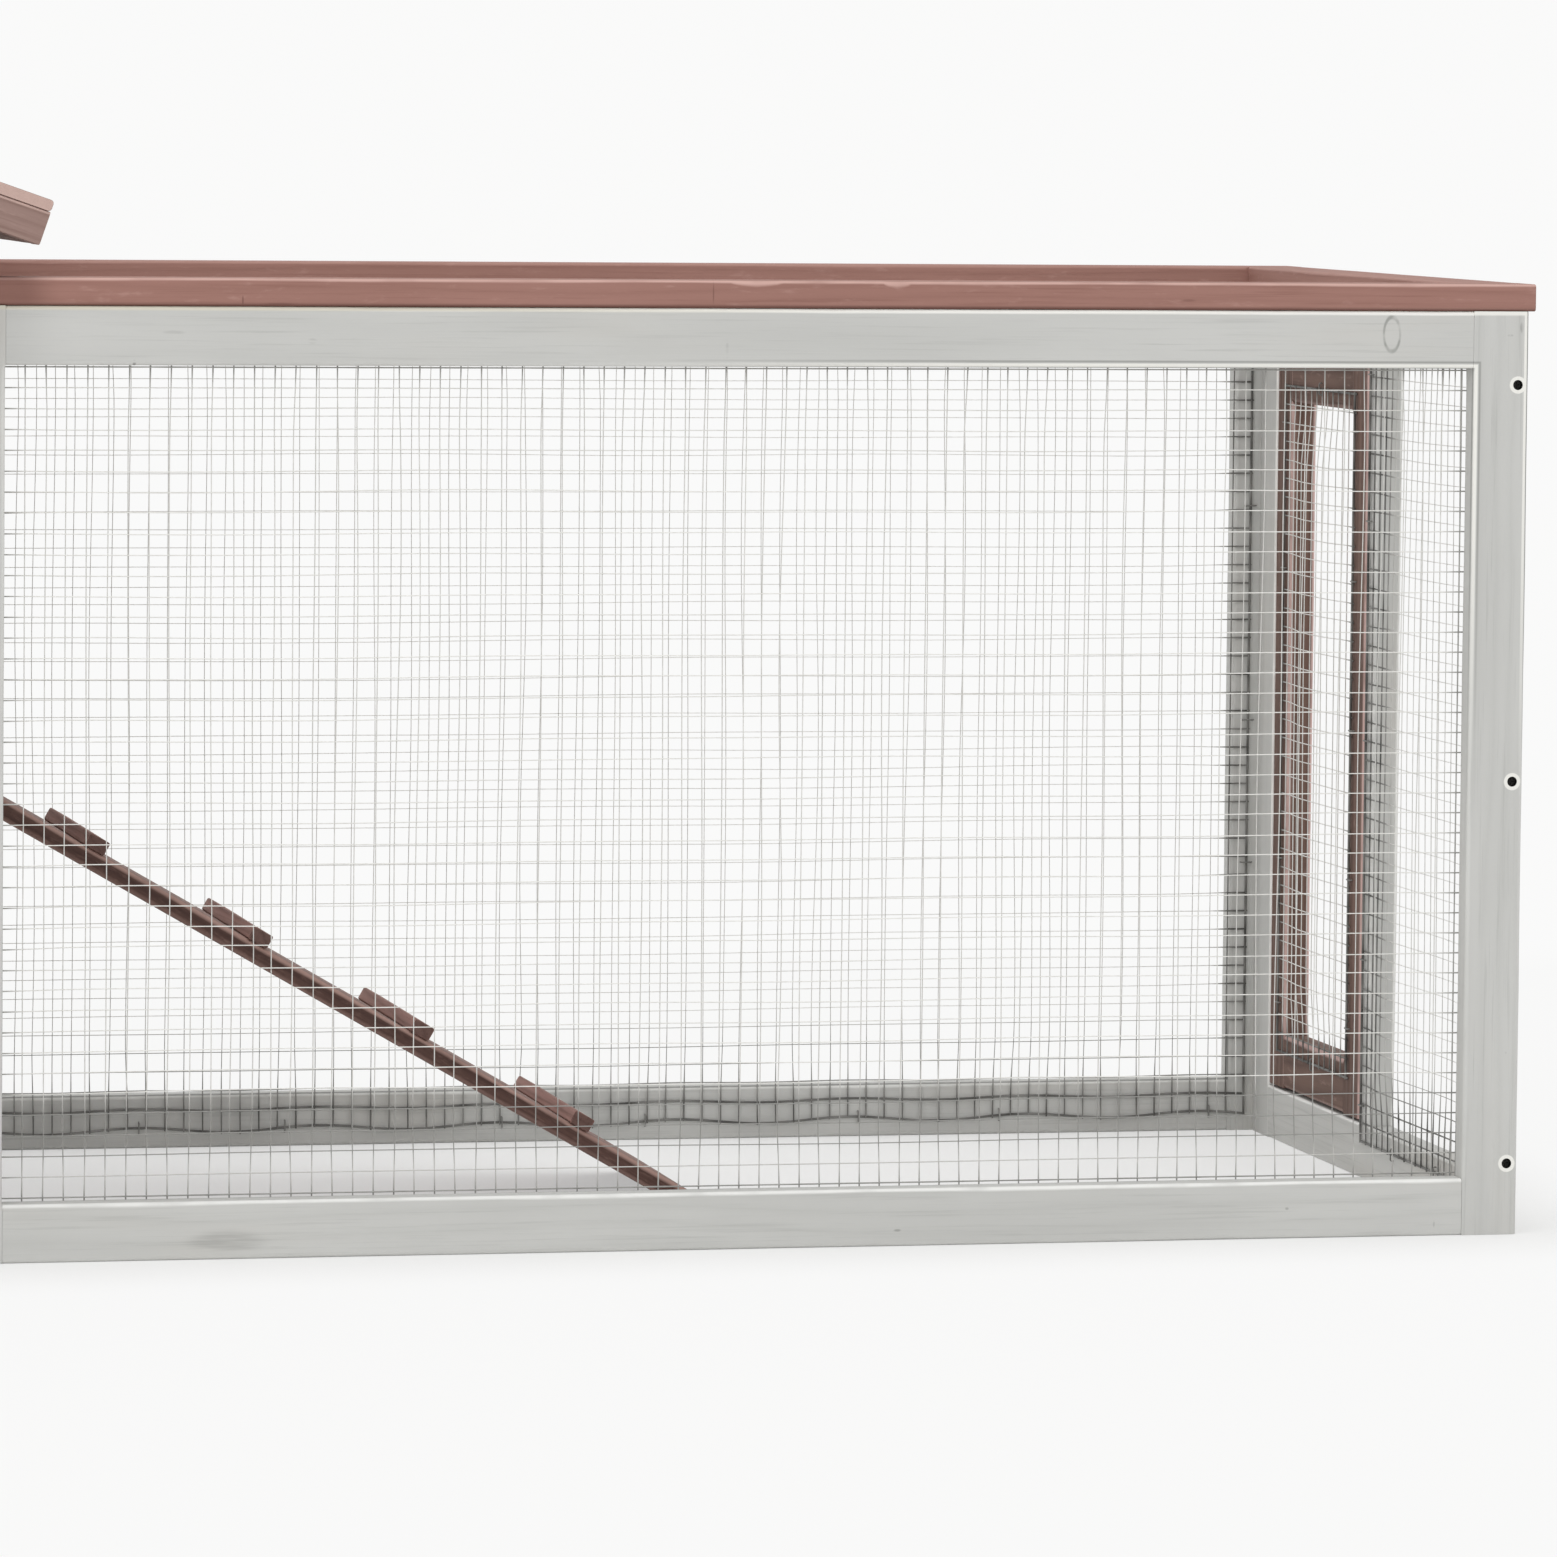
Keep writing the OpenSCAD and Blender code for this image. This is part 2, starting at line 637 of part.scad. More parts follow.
// Screws that hold the face frames to the end panels, with their heads down in the holes
module panel_screws() {
    head_h = 3;
    color(steel) both_sides() both_faces()
        for (z = screw_zs())
            translate([end_x - screw_inset, front_y + screw_hole_d - head_h, z]) rotate([-90, 0, 0])
                difference() {
                    cylinder(r = screw_hole_r - 0.2, h = head_h);
                    for (a = [0, 90]) rotate(a) translate([-2, -0.5, -1]) cube([4, 1, 2]);
                }
}

module mesh_staples() {
    both_sides() {
        at_front_net() staples(front_net.x, front_net.y);
        at_back_net() staples(back_net.x, back_net.y);
        at_pane_net() staples(pane_net.x, pane_net.y);
        at_top_net() staples(top_net.x, top_net.y);
    }
    both_faces() at_lower_net() staples(lower_net.x, lower_net.y);
}

front_frame();  // right_front_frame
front_mesh();  // right_front_mesh
back_frame();  // right_back_frame
back_mesh();  // right_back_mesh
end_frame();  // right_end_frame
end_mesh();  // right_end_mesh
top_frame();  // right_top_frame
top_mesh();  // right_top_mesh
end_door_frame();  // right_end_door_frame
end_door_mesh();  // right_end_door_mesh
end_door_leaves();  // right_end_door_leaves
end_door_button();  // right_end_door_button
ramp_board();  // right_ramp_board
ramp_cleats();  // right_ramp_cleats
ramp_leaves();  // right_ramp_leaves
house_wall();  // right_house_wall
house_door();  // right_house_door
house_door_leaves();  // right_house_door_leaves
roof_deck();  // right_roof_deck
roof_battens();  // right_roof_battens
roof_leaves();  // right_roof_leaves
mirror([1, 0, 0]) front_frame();  // left_front_frame
mirror([1, 0, 0]) front_mesh();  // left_front_mesh
mirror([1, 0, 0]) back_frame();  // left_back_frame
mirror([1, 0, 0]) back_mesh();  // left_back_mesh
mirror([1, 0, 0]) end_frame();  // left_end_frame
mirror([1, 0, 0]) end_mesh();  // left_end_mesh
mirror([1, 0, 0]) top_frame();  // left_top_frame
mirror([1, 0, 0]) top_mesh();  // left_top_mesh
mirror([1, 0, 0]) end_door_frame();  // left_end_door_frame
mirror([1, 0, 0]) end_door_mesh();  // left_end_door_mesh
mirror([1, 0, 0]) end_door_leaves();  // left_end_door_leaves
mirror([1, 0, 0]) end_door_button();  // left_end_door_button
mirror([1, 0, 0]) ramp_board();  // left_ramp_board
mirror([1, 0, 0]) ramp_cleats();  // left_ramp_cleats
mirror([1, 0, 0]) ramp_leaves();  // left_ramp_leaves
mirror([1, 0, 0]) house_wall();  // left_house_wall
mirror([1, 0, 0]) house_door();  // left_house_door
mirror([1, 0, 0]) house_door_leaves();  // left_house_door_leaves
mirror([1, 0, 0]) roof_deck();  // left_roof_deck
mirror([1, 0, 0]) roof_battens();  // left_roof_battens
mirror([1, 0, 0]) roof_leaves();  // left_roof_leaves
house_front_frame();
house_back_frame();
house_back_wall();
house_floor();
floor_bearers();
litter_tray();
lower_front_mesh();
lower_back_mesh();
gable_boards();
ridge_board();
house_door_button();
hinge_plates();
hinge_pins();
button_screws();
panel_screws();
mesh_staples();
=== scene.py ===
"""Looks of the wide wooden rabbit hutch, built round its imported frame."""
from math import cos, pi, radians, sin

import bpy
import numpy as np
from mathutils import Matrix, Vector


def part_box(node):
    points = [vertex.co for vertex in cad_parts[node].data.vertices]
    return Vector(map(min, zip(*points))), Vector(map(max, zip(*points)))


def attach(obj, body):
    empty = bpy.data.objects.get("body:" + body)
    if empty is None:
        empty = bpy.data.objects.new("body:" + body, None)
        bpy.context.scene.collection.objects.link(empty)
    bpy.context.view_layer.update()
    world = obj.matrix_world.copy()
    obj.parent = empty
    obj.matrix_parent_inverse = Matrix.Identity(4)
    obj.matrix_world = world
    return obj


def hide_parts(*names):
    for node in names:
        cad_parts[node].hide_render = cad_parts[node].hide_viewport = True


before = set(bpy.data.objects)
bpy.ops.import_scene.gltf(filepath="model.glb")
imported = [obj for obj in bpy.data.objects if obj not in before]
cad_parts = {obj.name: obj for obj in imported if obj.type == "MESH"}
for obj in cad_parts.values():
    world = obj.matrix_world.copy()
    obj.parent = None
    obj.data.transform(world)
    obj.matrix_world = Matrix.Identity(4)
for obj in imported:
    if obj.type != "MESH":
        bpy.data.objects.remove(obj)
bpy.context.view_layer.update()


# Camera. A long lens stands before the middle of the hutch, a little above its run roofs, and is
# turned towards the right run. The photograph is the right-hand part of a level picture taken from
# there, so a turned camera with a small lens shift comes closest to it.
PHOTO_SIDE = 1557       # pixels
FOCAL_PIXELS = 8489
EYE = Vector((-0.0982, -5.3748, 0.7056))
PAN, TILT, ROLL = 0.21104, 0.06097, 0.0092      # radians
LENS_SHIFT = (0.04, -0.1)
SENSOR = 36.0           # millimetres
FARTHEST = 60.0

ahead = Vector((sin(PAN) * cos(TILT), cos(PAN) * cos(TILT), -sin(TILT)))
level = Vector((cos(PAN), -sin(PAN), 0))
above = level.cross(ahead)
right = cos(ROLL) * level + sin(ROLL) * above
up = cos(ROLL) * above - sin(ROLL) * level
lens = bpy.data.cameras.new("camera")
lens.sensor_width = SENSOR
lens.lens = SENSOR * FOCAL_PIXELS / PHOTO_SIDE
lens.shift_x, lens.shift_y = LENS_SHIFT
lens.clip_end = FARTHEST
camera = bpy.data.objects.new("camera", lens)
camera.matrix_world = Matrix((right, up, -ahead)).transposed().to_4x4()
camera.location = EYE
bpy.context.scene.collection.objects.link(camera)
bpy.context.scene.camera = camera
bpy.context.scene.view_settings.view_transform = "Standard"


# Floor and backdrop. A pale seamless studio floor runs out into a backdrop of the same white. Under
# and beside the hutch it is a plain matt surface that takes the shadow, and further out it turns into
# the even white of the backdrop.
BACKDROP = (0.955, 0.955, 0.952, 1)
FLOOR_MATT = (0.90, 0.90, 0.89, 1)
FLOOR_REACH = 14.0
FOOTPRINT = (1.50, 0.27, 0.0)           # half of the hutch's length and depth
UNDER_WHITE, BESIDE_WHITE = 0.44, 0.90  # share of the backdrop's white under the hutch and beside it
BESIDE = 0.16                           # width over which the one turns into the other
WHITE_FROM, WHITE_BY = 0.15, 1.4        # distances over which the floor turns quite white


def feed(tree, socket, value):
    """Links an output to a socket, or sets the socket to a value."""
    if isinstance(value, bpy.types.NodeSocket):
        tree.links.new(value, socket)
    else:
        socket.default_value = value


def add(tree, kind, *inputs, **settings):
    """Adds a shader node: settings are its properties, and inputs are its first sockets in order."""
    made = tree.nodes.new("ShaderNode" + kind)
    for name, value in settings.items():
        setattr(made, name, value)
    for socket, value in zip(made.inputs, inputs):
        feed(tree, socket, value)
    return made


def calc(tree, operation, *inputs):
    """Output of a Math node."""
    return add(tree, "Math", *inputs, operation=operation).outputs[0]


def times(tree, value, *others):
    """Product of values."""
    for other in others:
        value = calc(tree, "MULTIPLY", value, other)
    return value


def greatest(tree, value, *others):
    """The greatest of values."""
    for other in others:
        value = calc(tree, "MAXIMUM", value, other)
    return value


def calc_vector(tree, operation, *inputs):
    """Output of a Vector Math node, its number where the operation gives one."""
    made = add(tree, "VectorMath", *inputs, operation=operation)
    return made.outputs["Value" if operation == "LENGTH" else "Vector"]


def step_up(tree, value, low, high):
    """Smooth step from 0 at low to 1 at high. Where low is the greater, it falls as the value grows."""
    return add(tree, "MapRange", value, low, high, 0.0, 1.0, interpolation_type="SMOOTHSTEP").outputs[0]


def shows_backdrop(tree):
    """1 for the rays that show the backdrop: from the camera, off gloss and through clear pieces."""
    rays = add(tree, "LightPath").outputs
    return greatest(tree, rays["Is Camera Ray"], rays["Is Glossy Ray"], rays["Is Transmission Ray"])


def place_on(tree):
    """The place on a piece, in the hutch's own frame."""
    return add(tree, "TexCoord").outputs["Object"]


def new_material(name):
    """An empty node material, its tree and its output node."""
    made = bpy.data.materials.new(name)
    made.use_nodes = True
    made.node_tree.nodes.clear()
    return made, made.node_tree, add(made.node_tree, "OutputMaterial")


corners = [(x * FLOOR_REACH, y * FLOOR_REACH, 0) for x, y in ((-1, -1), (1, -1), (1, 1), (-1, 1))]
floor_mesh = bpy.data.meshes.new("floor")
floor_mesh.from_pydata(corners, [], [(0, 1, 2, 3)])
floor = bpy.data.objects.new("floor", floor_mesh)
bpy.context.scene.collection.objects.link(floor)
floor_paint, tree, out = new_material("studio floor")
outside = calc_vector(tree, "SUBTRACT", calc_vector(tree, "ABSOLUTE", place_on(tree)), FOOTPRINT)
outside = calc_vector(tree, "LENGTH", calc_vector(tree, "MAXIMUM", outside, (0.0, 0.0, 0.0)))
near = step_up(tree, outside, 0.0, BESIDE)
near = calc(tree, "MULTIPLY_ADD", near, BESIDE_WHITE - UNDER_WHITE, UNDER_WHITE)
white = greatest(tree, near, step_up(tree, outside, WHITE_FROM, WHITE_BY))
matt = add(tree, "BsdfDiffuse", FLOOR_MATT)
glow = add(tree, "Emission", BACKDROP, 1.0)
mixed = add(tree, "MixShader", times(tree, white, shows_backdrop(tree)), matt.outputs[0], glow.outputs[0])
tree.links.new(mixed.outputs[0], out.inputs["Surface"])
floor_mesh.materials.append(floor_paint)


# Light. A bright even room and two large soft boxes, one in front on the left and one overhead, which
# lift the upper edges of the boards and leave the insides of the runs in a soft shade.
ROOM = 0.83
# Place, aim, side and power
SOFT_BOXES = (((-2.6, -3.6, 3.2), (0.7, 0.0, 0.3), 3.0, 38.0),
              ((0.4, -0.8, 4.2), (0.4, 0.1, 0.0), 3.4, 22.0))

world = bpy.data.worlds.new("studio")
bpy.context.scene.world = world
world.use_nodes = True
tree = world.node_tree
tree.nodes.clear()
room = add(tree, "Background", (1, 1, 1, 1), ROOM)
wall = add(tree, "Background", BACKDROP, 1.0)
mixed = add(tree, "MixShader", shows_backdrop(tree), room.outputs[0], wall.outputs[0])
tree.links.new(mixed.outputs[0], add(tree, "OutputWorld").inputs["Surface"])
for number, (spot, aim, side, power) in enumerate(SOFT_BOXES):
    lamp = bpy.data.lights.new(f"soft_box_{number}", "AREA")
    lamp.energy, lamp.size = power, side
    holder = bpy.data.objects.new(lamp.name, lamp)
    holder.location = spot
    holder.rotation_euler = (Vector(aim) - Vector(spot)).to_track_quat("-Z", "Y").to_euler()
    bpy.context.scene.collection.objects.link(holder)


# Front and back frames of the runs. Two stiles and two rails of planed softwood each, butted, glued
# and painted grey, with lightly rounded edges. Three screws go through each outer stile into the end
# panel, deep in holes whose rims are torn pale.
ARRIS = 0.0021              # radius of a planed edge
FRONT_ARRIS = 0.0028        # the same on these frames
BUTT_ARRIS = 0.00015        # the same where another board butts on it
MOST_ARRIS = 0.6            # share of half a board's thickness that an edge's radius never passes
LEAST_ARRIS = 0.00005
END_EASE = 0.0003
SLANT_BAND = 0.3            # share of a board's thickness, at each side, where its ends are measured
CORNER_STEPS = 3
RING_STEP = 0.025
ROUNDING = 1e-5
SAME_SPOT = 2e4             # corners are one when they agree to a metre over this
TOUCH = 0.0004              # boards that lie nearer than this butt on each other
BUTT_RINGS = (-0.002, 0.001)    # rings of corners that a board gets at each end of a butt
BUTT_BEFORE, BUTT_PAST = 0.001, 0.0002
CHIP_RINGS = np.linspace(-1.1, 1.1, 9)      # the same along a chip, in shares of its half length
WANDER_RATES = np.array([21.0, 47.0, 113.0])    # of an edge's radius: radians to the metre
WANDER_SHARES = np.array([0.11, 0.07, 0.04])
HOLE_ROOM = 0.0075          # half length of the face that is opened for a hole
HOLE_RADIUS = 0.0032
HOLE_DEPTH = 0.007
HOLE_STEPS = 24
SHADE_UNDER_EDGES = 0.75            # how much less pale the edges under a board are: painted shade
FACES_DOWN = -0.3           # a normal below this points down
LOG_SPREAD = np.array([3.0, 0.03, 0.02])    # how far apart boards lay in the log: along, across, through
FRONT_FACE, BACK_FACE = 11, 3   # number of the flat face that has the holes, on front and back stiles
UPPER_FRONT = 1             # the corner of a flat board's section that chips leave
SIDES = {"right": 1, "left": -1}

luck = np.random.default_rng(31)    # what differs from board to board


def solids_of(node):
    """The corners of each separate solid of a CAD node: corners that share a triangle take the lowest
    label among them, until no label changes."""
    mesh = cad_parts[node].data
    co = np.empty(len(mesh.vertices) * 3, np.float32)
    mesh.vertices.foreach_get("co", co)
    co = co.reshape(-1, 3).astype(float)
    corners = np.empty(len(mesh.loops), np.int32)
    mesh.loops.foreach_get("vertex_index", corners)
    spots, same = np.unique(np.round(co * SAME_SPOT).astype(np.int64), axis=0, return_inverse=True)
    triangles = same.ravel()[corners].reshape(-1, 3)
    label = np.arange(len(spots))
    while True:
        lower = label.copy()
        np.minimum.at(lower, triangles.ravel(), np.repeat(label[triangles].min(1), 3))
        if (lower == label).all():
            break
        label = lower
    label = label[same.ravel()]
    return [co[label == k] for k in np.unique(label)]


def middles_of(node):
    """The middle of each solid of a CAD node."""
    return [(corners.min(0) + corners.max(0)) / 2 for corners in solids_of(node)]


class Board:
    """A board as a box along axes that are turned about Y. Grain, across and through are its axes from
    the longest to the thinnest. Its ends may be cut on the slant: ends holds where the board starts and
    stops along its low side and along its high side."""

    def __init__(self, corners, turn=0.0):
        self.turn = np.array(Matrix.Rotation(turn, 3, "Y"))
        local = corners @ self.turn
        self.low, self.high = local.min(0), local.max(0)
        self.size = self.high - self.low
        self.grain, self.across, self.through = np.argsort(-self.size)
        w, u = local[:, self.across], local[:, self.grain]
        edge = SLANT_BAND * self.size[self.through]
        sides = [u[w < self.low[self.across] + edge], u[w > self.high[self.across] - edge]]
        self.ends = np.array([[s.min(), s.max()] for s in sides])
        self.holes = []

    def span(self, axis):
        """Where the board starts and stops along an axis."""
        return self.low[axis], self.high[axis]


def boards_of(node, turn=0.0):
    """The boards of a CAD node."""
    return [Board(corners, turn) for corners in solids_of(node)]


def butted(board, others):
    """Stretches along a board where another board butts on its low or high side: (side, start, end)."""
    found = []
    for other in others:
        if other is board or other.grain == board.grain or other.through != board.through:
            continue
        start, end = other.span(board.grain)
        mine = board.span(board.grain)
        if end < mine[0] or start > mine[1]:
            continue
        low, high = board.span(board.across)
        theirs = other.span(board.across)
        if abs(theirs[1] - low) < TOUCH:
            found.append((0, start, end))
        if abs(theirs[0] - high) < TOUCH:
            found.append((1, start, end))
    return found


def ring_faces(count, rings, steps):
    """Faces of shapes that are each made of rings of corners: quads from each ring to the next, and a
    cap on the first and on the last. Corners are numbered by shape, ring and step."""
    c, r, k = np.meshgrid(np.arange(count), np.arange(rings - 1), np.arange(steps), indexing="ij")
    at = (c * rings + r) * steps
    k2 = (k + 1) % steps
    quads = np.stack([at + k, at + k2, at + steps + k2, at + steps + k], -1).reshape(-1, 4)
    first = np.arange(count)[:, None] * rings * steps
    last = first + (rings - 1) * steps
    return quads, np.concatenate([first + np.arange(steps)[::-1], last + np.arange(steps)])


def board_surface(board, others, arris=ARRIS, chips=(), wear=1.0):
    """A board's corners, faces and attributes. A rectangle with round corners is carried along the
    grain. The corners' radius wanders as a sum of three sines, grows at a chip and shrinks to next to
    nothing where another board butts on it. The attribute plank is the place in the log along, across
    and through the board, worn holds its edges, its ends and its thin faces, and tone differs from
    board to board. Its edges are pale from wear and from a painted highlight, by a share or one for each
    end, and less where they face down, which is painted shade."""
    g, a, t = board.grain, board.across, board.through
    length, start = board.size[g], board.low[g]
    half = np.array([board.size[a], board.size[t]]) / 2
    middle = (board.low + board.high) / 2
    zones = butted(board, others)
    stops = [END_EASE, length - END_EASE]
    for _, low, high in zones:
        stops += [p - start + d for p in (low, high) for d in BUTT_RINGS]
    for spot, half_length, _ in chips:
        stops += list(spot - start + half_length * CHIP_RINGS)
    for _, spot, _ in board.holes:
        stops += [spot - start - HOLE_ROOM, spot - start + HOLE_ROOM]
    steady = np.linspace(0, length, max(3, int(length / RING_STEP) + 1))
    places = np.unique(np.round(np.clip(np.concatenate([steady, stops]), 0, length), 6))
    for _, spot, _ in board.holes:
        places = places[abs(places - (spot - start)) > HOLE_ROOM - ROUNDING]
    n = len(places)

    quarter = np.linspace(0, pi / 2, CORNER_STEPS + 1)
    theta = np.concatenate([quarter + c * pi / 2 for c in range(4)])
    corner = np.repeat(np.arange(4), CORNER_STEPS + 1)
    sign_a = np.array([1, -1, -1, 1])[corner]
    sign_t = np.array([1, 1, -1, -1])[corner]
    phase = luck.uniform(0, 2 * pi, (4, 3))
    radius = arris * (1 + np.sin(places[:, None, None] * WANDER_RATES + phase) @ WANDER_SHARES)
    for spot, half_length, depth in chips:
        inward = 1 - abs(places - (spot - start)) / half_length
        radius[:, UPPER_FRONT] += depth * np.sqrt(np.clip(inward, 0, 1))
    for side, low, high in zones:
        inside = (places > low - start - BUTT_BEFORE) & (places < high - start + BUTT_PAST)
        for c in ((1, 2), (0, 3))[side]:
            radius[inside, c] = BUTT_ARRIS
    inset = np.zeros(n)
    inset[[0, -1]] = END_EASE
    radius = np.minimum(radius, half.min() * MOST_ARRIS)[:, corner] - inset[:, None]
    radius = np.maximum(radius, LEAST_ARRIS)
    pa = sign_a * (half[0] - inset[:, None] - radius) + radius * np.cos(theta)
    pt = sign_t * (half[1] - inset[:, None] - radius) + radius * np.sin(theta)
    share = (pa / half[0] + 1) / 2
    first = board.ends[0, 0] + share * (board.ends[1, 0] - board.ends[0, 0])
    last = board.ends[0, 1] + share * (board.ends[1, 1] - board.ends[0, 1])
    m = len(theta)
    local = np.zeros((n, m, 3))
    local[..., g] = first + (places / length)[:, None] * (last - first)
    local[..., a], local[..., t] = middle[a] + pa, middle[t] + pt

    side_normal = np.zeros((m, 3))
    side_normal[:, a], side_normal[:, t] = np.cos(theta), np.sin(theta)
    quads, caps = ring_faces(1, n, m)
    quads = quads.reshape(n - 1, m, 4)
    normals = side_normal[quads % m]
    keep = np.ones((n - 1, m), bool)
    opened = []
    for face, spot, across_at in board.holes:
        ring = int(np.searchsorted(places, spot - start - HOLE_ROOM - ROUNDING))
        keep[ring, face] = False
        opened.append((quads[ring, face], spot, across_at, side_normal[face]))
    groups = [(quads[keep], normals[keep])]
    cap_normals = np.zeros((2, 3))
    for end, sense in ((0, -1), (1, 1)):
        lean = (board.ends[1, end] - board.ends[0, end]) / board.size[a]
        cap_normals[end, [g, a]] = np.array([sense, -sense * lean]) / np.hypot(1, lean)
    groups.append((caps, np.repeat(cap_normals[:, None], m, 1)))

    co = local.reshape(-1, 3)
    worn = np.zeros((n, m, 3))
    # Edges are pale from wear and a painted highlight. Those that face down are less pale, as painted shade
    downward = (side_normal @ board.turn.T)[:, 2] < FACES_DOWN
    on_edge = np.tile(np.sin(quarter * 2) > 0.5, 4)
    rubbed_and_lit = on_edge * (1 - SHADE_UNDER_EDGES * downward)
    worn[:, :, 0] = rubbed_and_lit * np.interp(places, (0, length), np.broadcast_to(wear, 2))[:, None]
    worn[[0, -1], :, 1] = 1
    worn[:, :, 2] = np.cos(theta) ** 2
    worn = worn.reshape(-1, 3)
    for quad, spot, across_at, normal in opened:
        co, worn, more = bored(board, co, worn, quad, spot, across_at, normal)
        groups += more
    plank = np.stack([co[:, g], co[:, a] - middle[a], co[:, t] - middle[t]], 1)
    plank += luck.uniform(-1, 1, 3) * LOG_SPREAD
    tone = np.full(len(co), luck.uniform(0, 1))
    hand = np.zeros((3, 3))
    hand[0, g] = hand[1, a] = hand[2, t] = 1
    if np.linalg.det(hand) < 0:
        groups = [(faces[:, ::-1], n_[:, ::-1]) for faces, n_ in groups]
    back = board.turn.T
    return co @ back, [(faces, n_ @ back) for faces, n_ in groups], plank, worn, tone


def bored(board, co, worn, quad, spot, across_at, normal):
    """Opens a round hole in one quad of a board's face: four faces run from the quad's sides to the
    circle, and the wall goes straight in to a flat bottom. Angles run round the hole from its low
    corner, as the quad's corners do."""
    start = len(co)
    corners = co[quad]
    p, q = corners[1] - corners[0], corners[3] - corners[0]
    p, q = p / np.linalg.norm(p), q / np.linalg.norm(q)
    centre = corners.mean(0)
    centre[board.grain], centre[board.across] = spot, across_at
    angle = np.arange(HOLE_STEPS) * 2 * pi / HOLE_STEPS - 3 * pi / 4
    ring = HOLE_RADIUS * (np.cos(angle)[:, None] * p + np.sin(angle)[:, None] * q)
    rings = np.concatenate([centre + ring, centre + ring - HOLE_DEPTH * normal])
    top = start + np.arange(HOLE_STEPS)
    deep = top + HOLE_STEPS
    arc = HOLE_STEPS // 4
    sides = np.array([[quad[s], quad[(s + 1) % 4], *top[(np.arange(arc, -1, -1) + s * arc) % HOLE_STEPS]]
                      for s in range(4)])
    wall = np.stack([top, np.roll(top, -1), np.roll(deep, -1), deep], 1)
    inward = -ring / HOLE_RADIUS
    wall_normals = np.stack([inward, np.roll(inward, -1, 0), np.roll(inward, -1, 0), inward], 1)
    more = [(sides, np.broadcast_to(normal, (*sides.shape, 3))), (wall, wall_normals),
            (deep[None], np.broadcast_to(normal, (1, HOLE_STEPS, 3)))]
    return np.concatenate([co, rings]), np.concatenate([worn, np.zeros((len(rings), 3))]), more


def joined(surfaces):
    """One surface out of several: their corners and attributes in a row, and their faces numbered on
    and grouped by their number of corners."""
    by_size, count = {}, 0
    for surface in surfaces:
        for faces, normals in surface[1]:
            by_size.setdefault(faces.shape[1], []).append((faces + count, normals))
        count += len(surface[0])
    groups = []
    for alike in by_size.values():
        faces, normals = zip(*alike)
        groups.append((np.concatenate(faces), None if normals[0] is None else np.concatenate(normals)))
    rest = (np.concatenate([s[k] for s in surfaces]) for k in range(2, len(surfaces[0])))
    return [np.concatenate([s[0] for s in surfaces]), groups, *rest]


def show(name, body, slot, material, co, groups, nodes=(), **attributes):
    """Makes one piece from its corners and its groups of faces with their corners' normals. The piece
    rides on a body and stands for the CAD nodes that it replaces."""
    mesh = bpy.data.meshes.new(name)
    mesh.vertices.add(len(co))
    mesh.vertices.foreach_set("co", np.ascontiguousarray(co, np.float32).ravel())
    loops = np.concatenate([faces.ravel() for faces, _ in groups])
    sizes = np.concatenate([np.full(len(faces), faces.shape[1]) for faces, _ in groups])
    starts = np.concatenate([[0], np.cumsum(sizes)[:-1]])
    mesh.loops.add(len(loops))
    mesh.loops.foreach_set("vertex_index", loops.astype(np.int32))
    mesh.polygons.add(len(sizes))
    mesh.polygons.foreach_set("loop_start", starts.astype(np.int32))
    mesh.polygons.foreach_set("use_smooth", np.ones(len(sizes), bool))
    mesh.update(calc_edges=True)
    for label, values in attributes.items():
        kind, key = ("FLOAT_VECTOR", "vector") if values.ndim == 2 else ("FLOAT", "value")
        kept = mesh.attributes.new(label, kind, "POINT").data
        kept.foreach_set(key, np.ascontiguousarray(values, np.float32).ravel())
    if groups[0][1] is not None:
        normals = np.concatenate([n.reshape(-1, 3) for _, n in groups])
        mesh.normals_split_custom_set(normals.tolist())
    mesh.materials.append(material)
    piece = bpy.data.objects.new(name, mesh)
    bpy.context.scene.collection.objects.link(piece)
    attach(piece, body)
    if nodes:
        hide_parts(*nodes)


def woodwork(name, nodes, body, slot, material, boards, arris=ARRIS, chips_on=lambda board: (),
             wear_on=lambda board: 1.0):
    """One wooden piece made of boards, in place of its CAD nodes."""
    surfaces = [board_surface(b, boards, arris, chips_on(b), wear_on(b)) for b in boards]
    co, groups, plank, worn, tone = joined(surfaces)
    show(name, body, slot, material, co, groups, nodes, plank=plank, worn=worn, tone=tone)


def screen(red, green, blue):
    """Linear colour of an sRGB colour that is given from 0 to 255."""
    c = np.array([red, green, blue]) / 255
    return (*np.where(c <= 0.04045, c / 12.92, ((c + 0.055) / 1.055) ** 2.4).tolist(), 1.0)


def mix(tree, share, a, b):
    """Colour between a and b."""
    made = tree.nodes.new("ShaderNodeMix")
    made.data_type = "RGBA"
    for number, value in ((0, share), (6, a), (7, b)):
        feed(tree, made.inputs[number], value)
    return made.outputs[2]


def over(tree, colour, coat, *shares):
    """A colour with another laid over it, as strongly as the product of the shares."""
    return mix(tree, times(tree, *shares), colour, coat)


def noise(tree, place, scale, detail=2.0, rough=0.5, output="Fac"):
    """Noise of a place that is stretched by three scales."""
    made = add(tree, "TexNoise", calc_vector(tree, "MULTIPLY", place, scale))
    for label, value in (("Scale", 1.0), ("Detail", detail), ("Roughness", rough)):
        made.inputs[label].default_value = value
    return made.outputs[output]


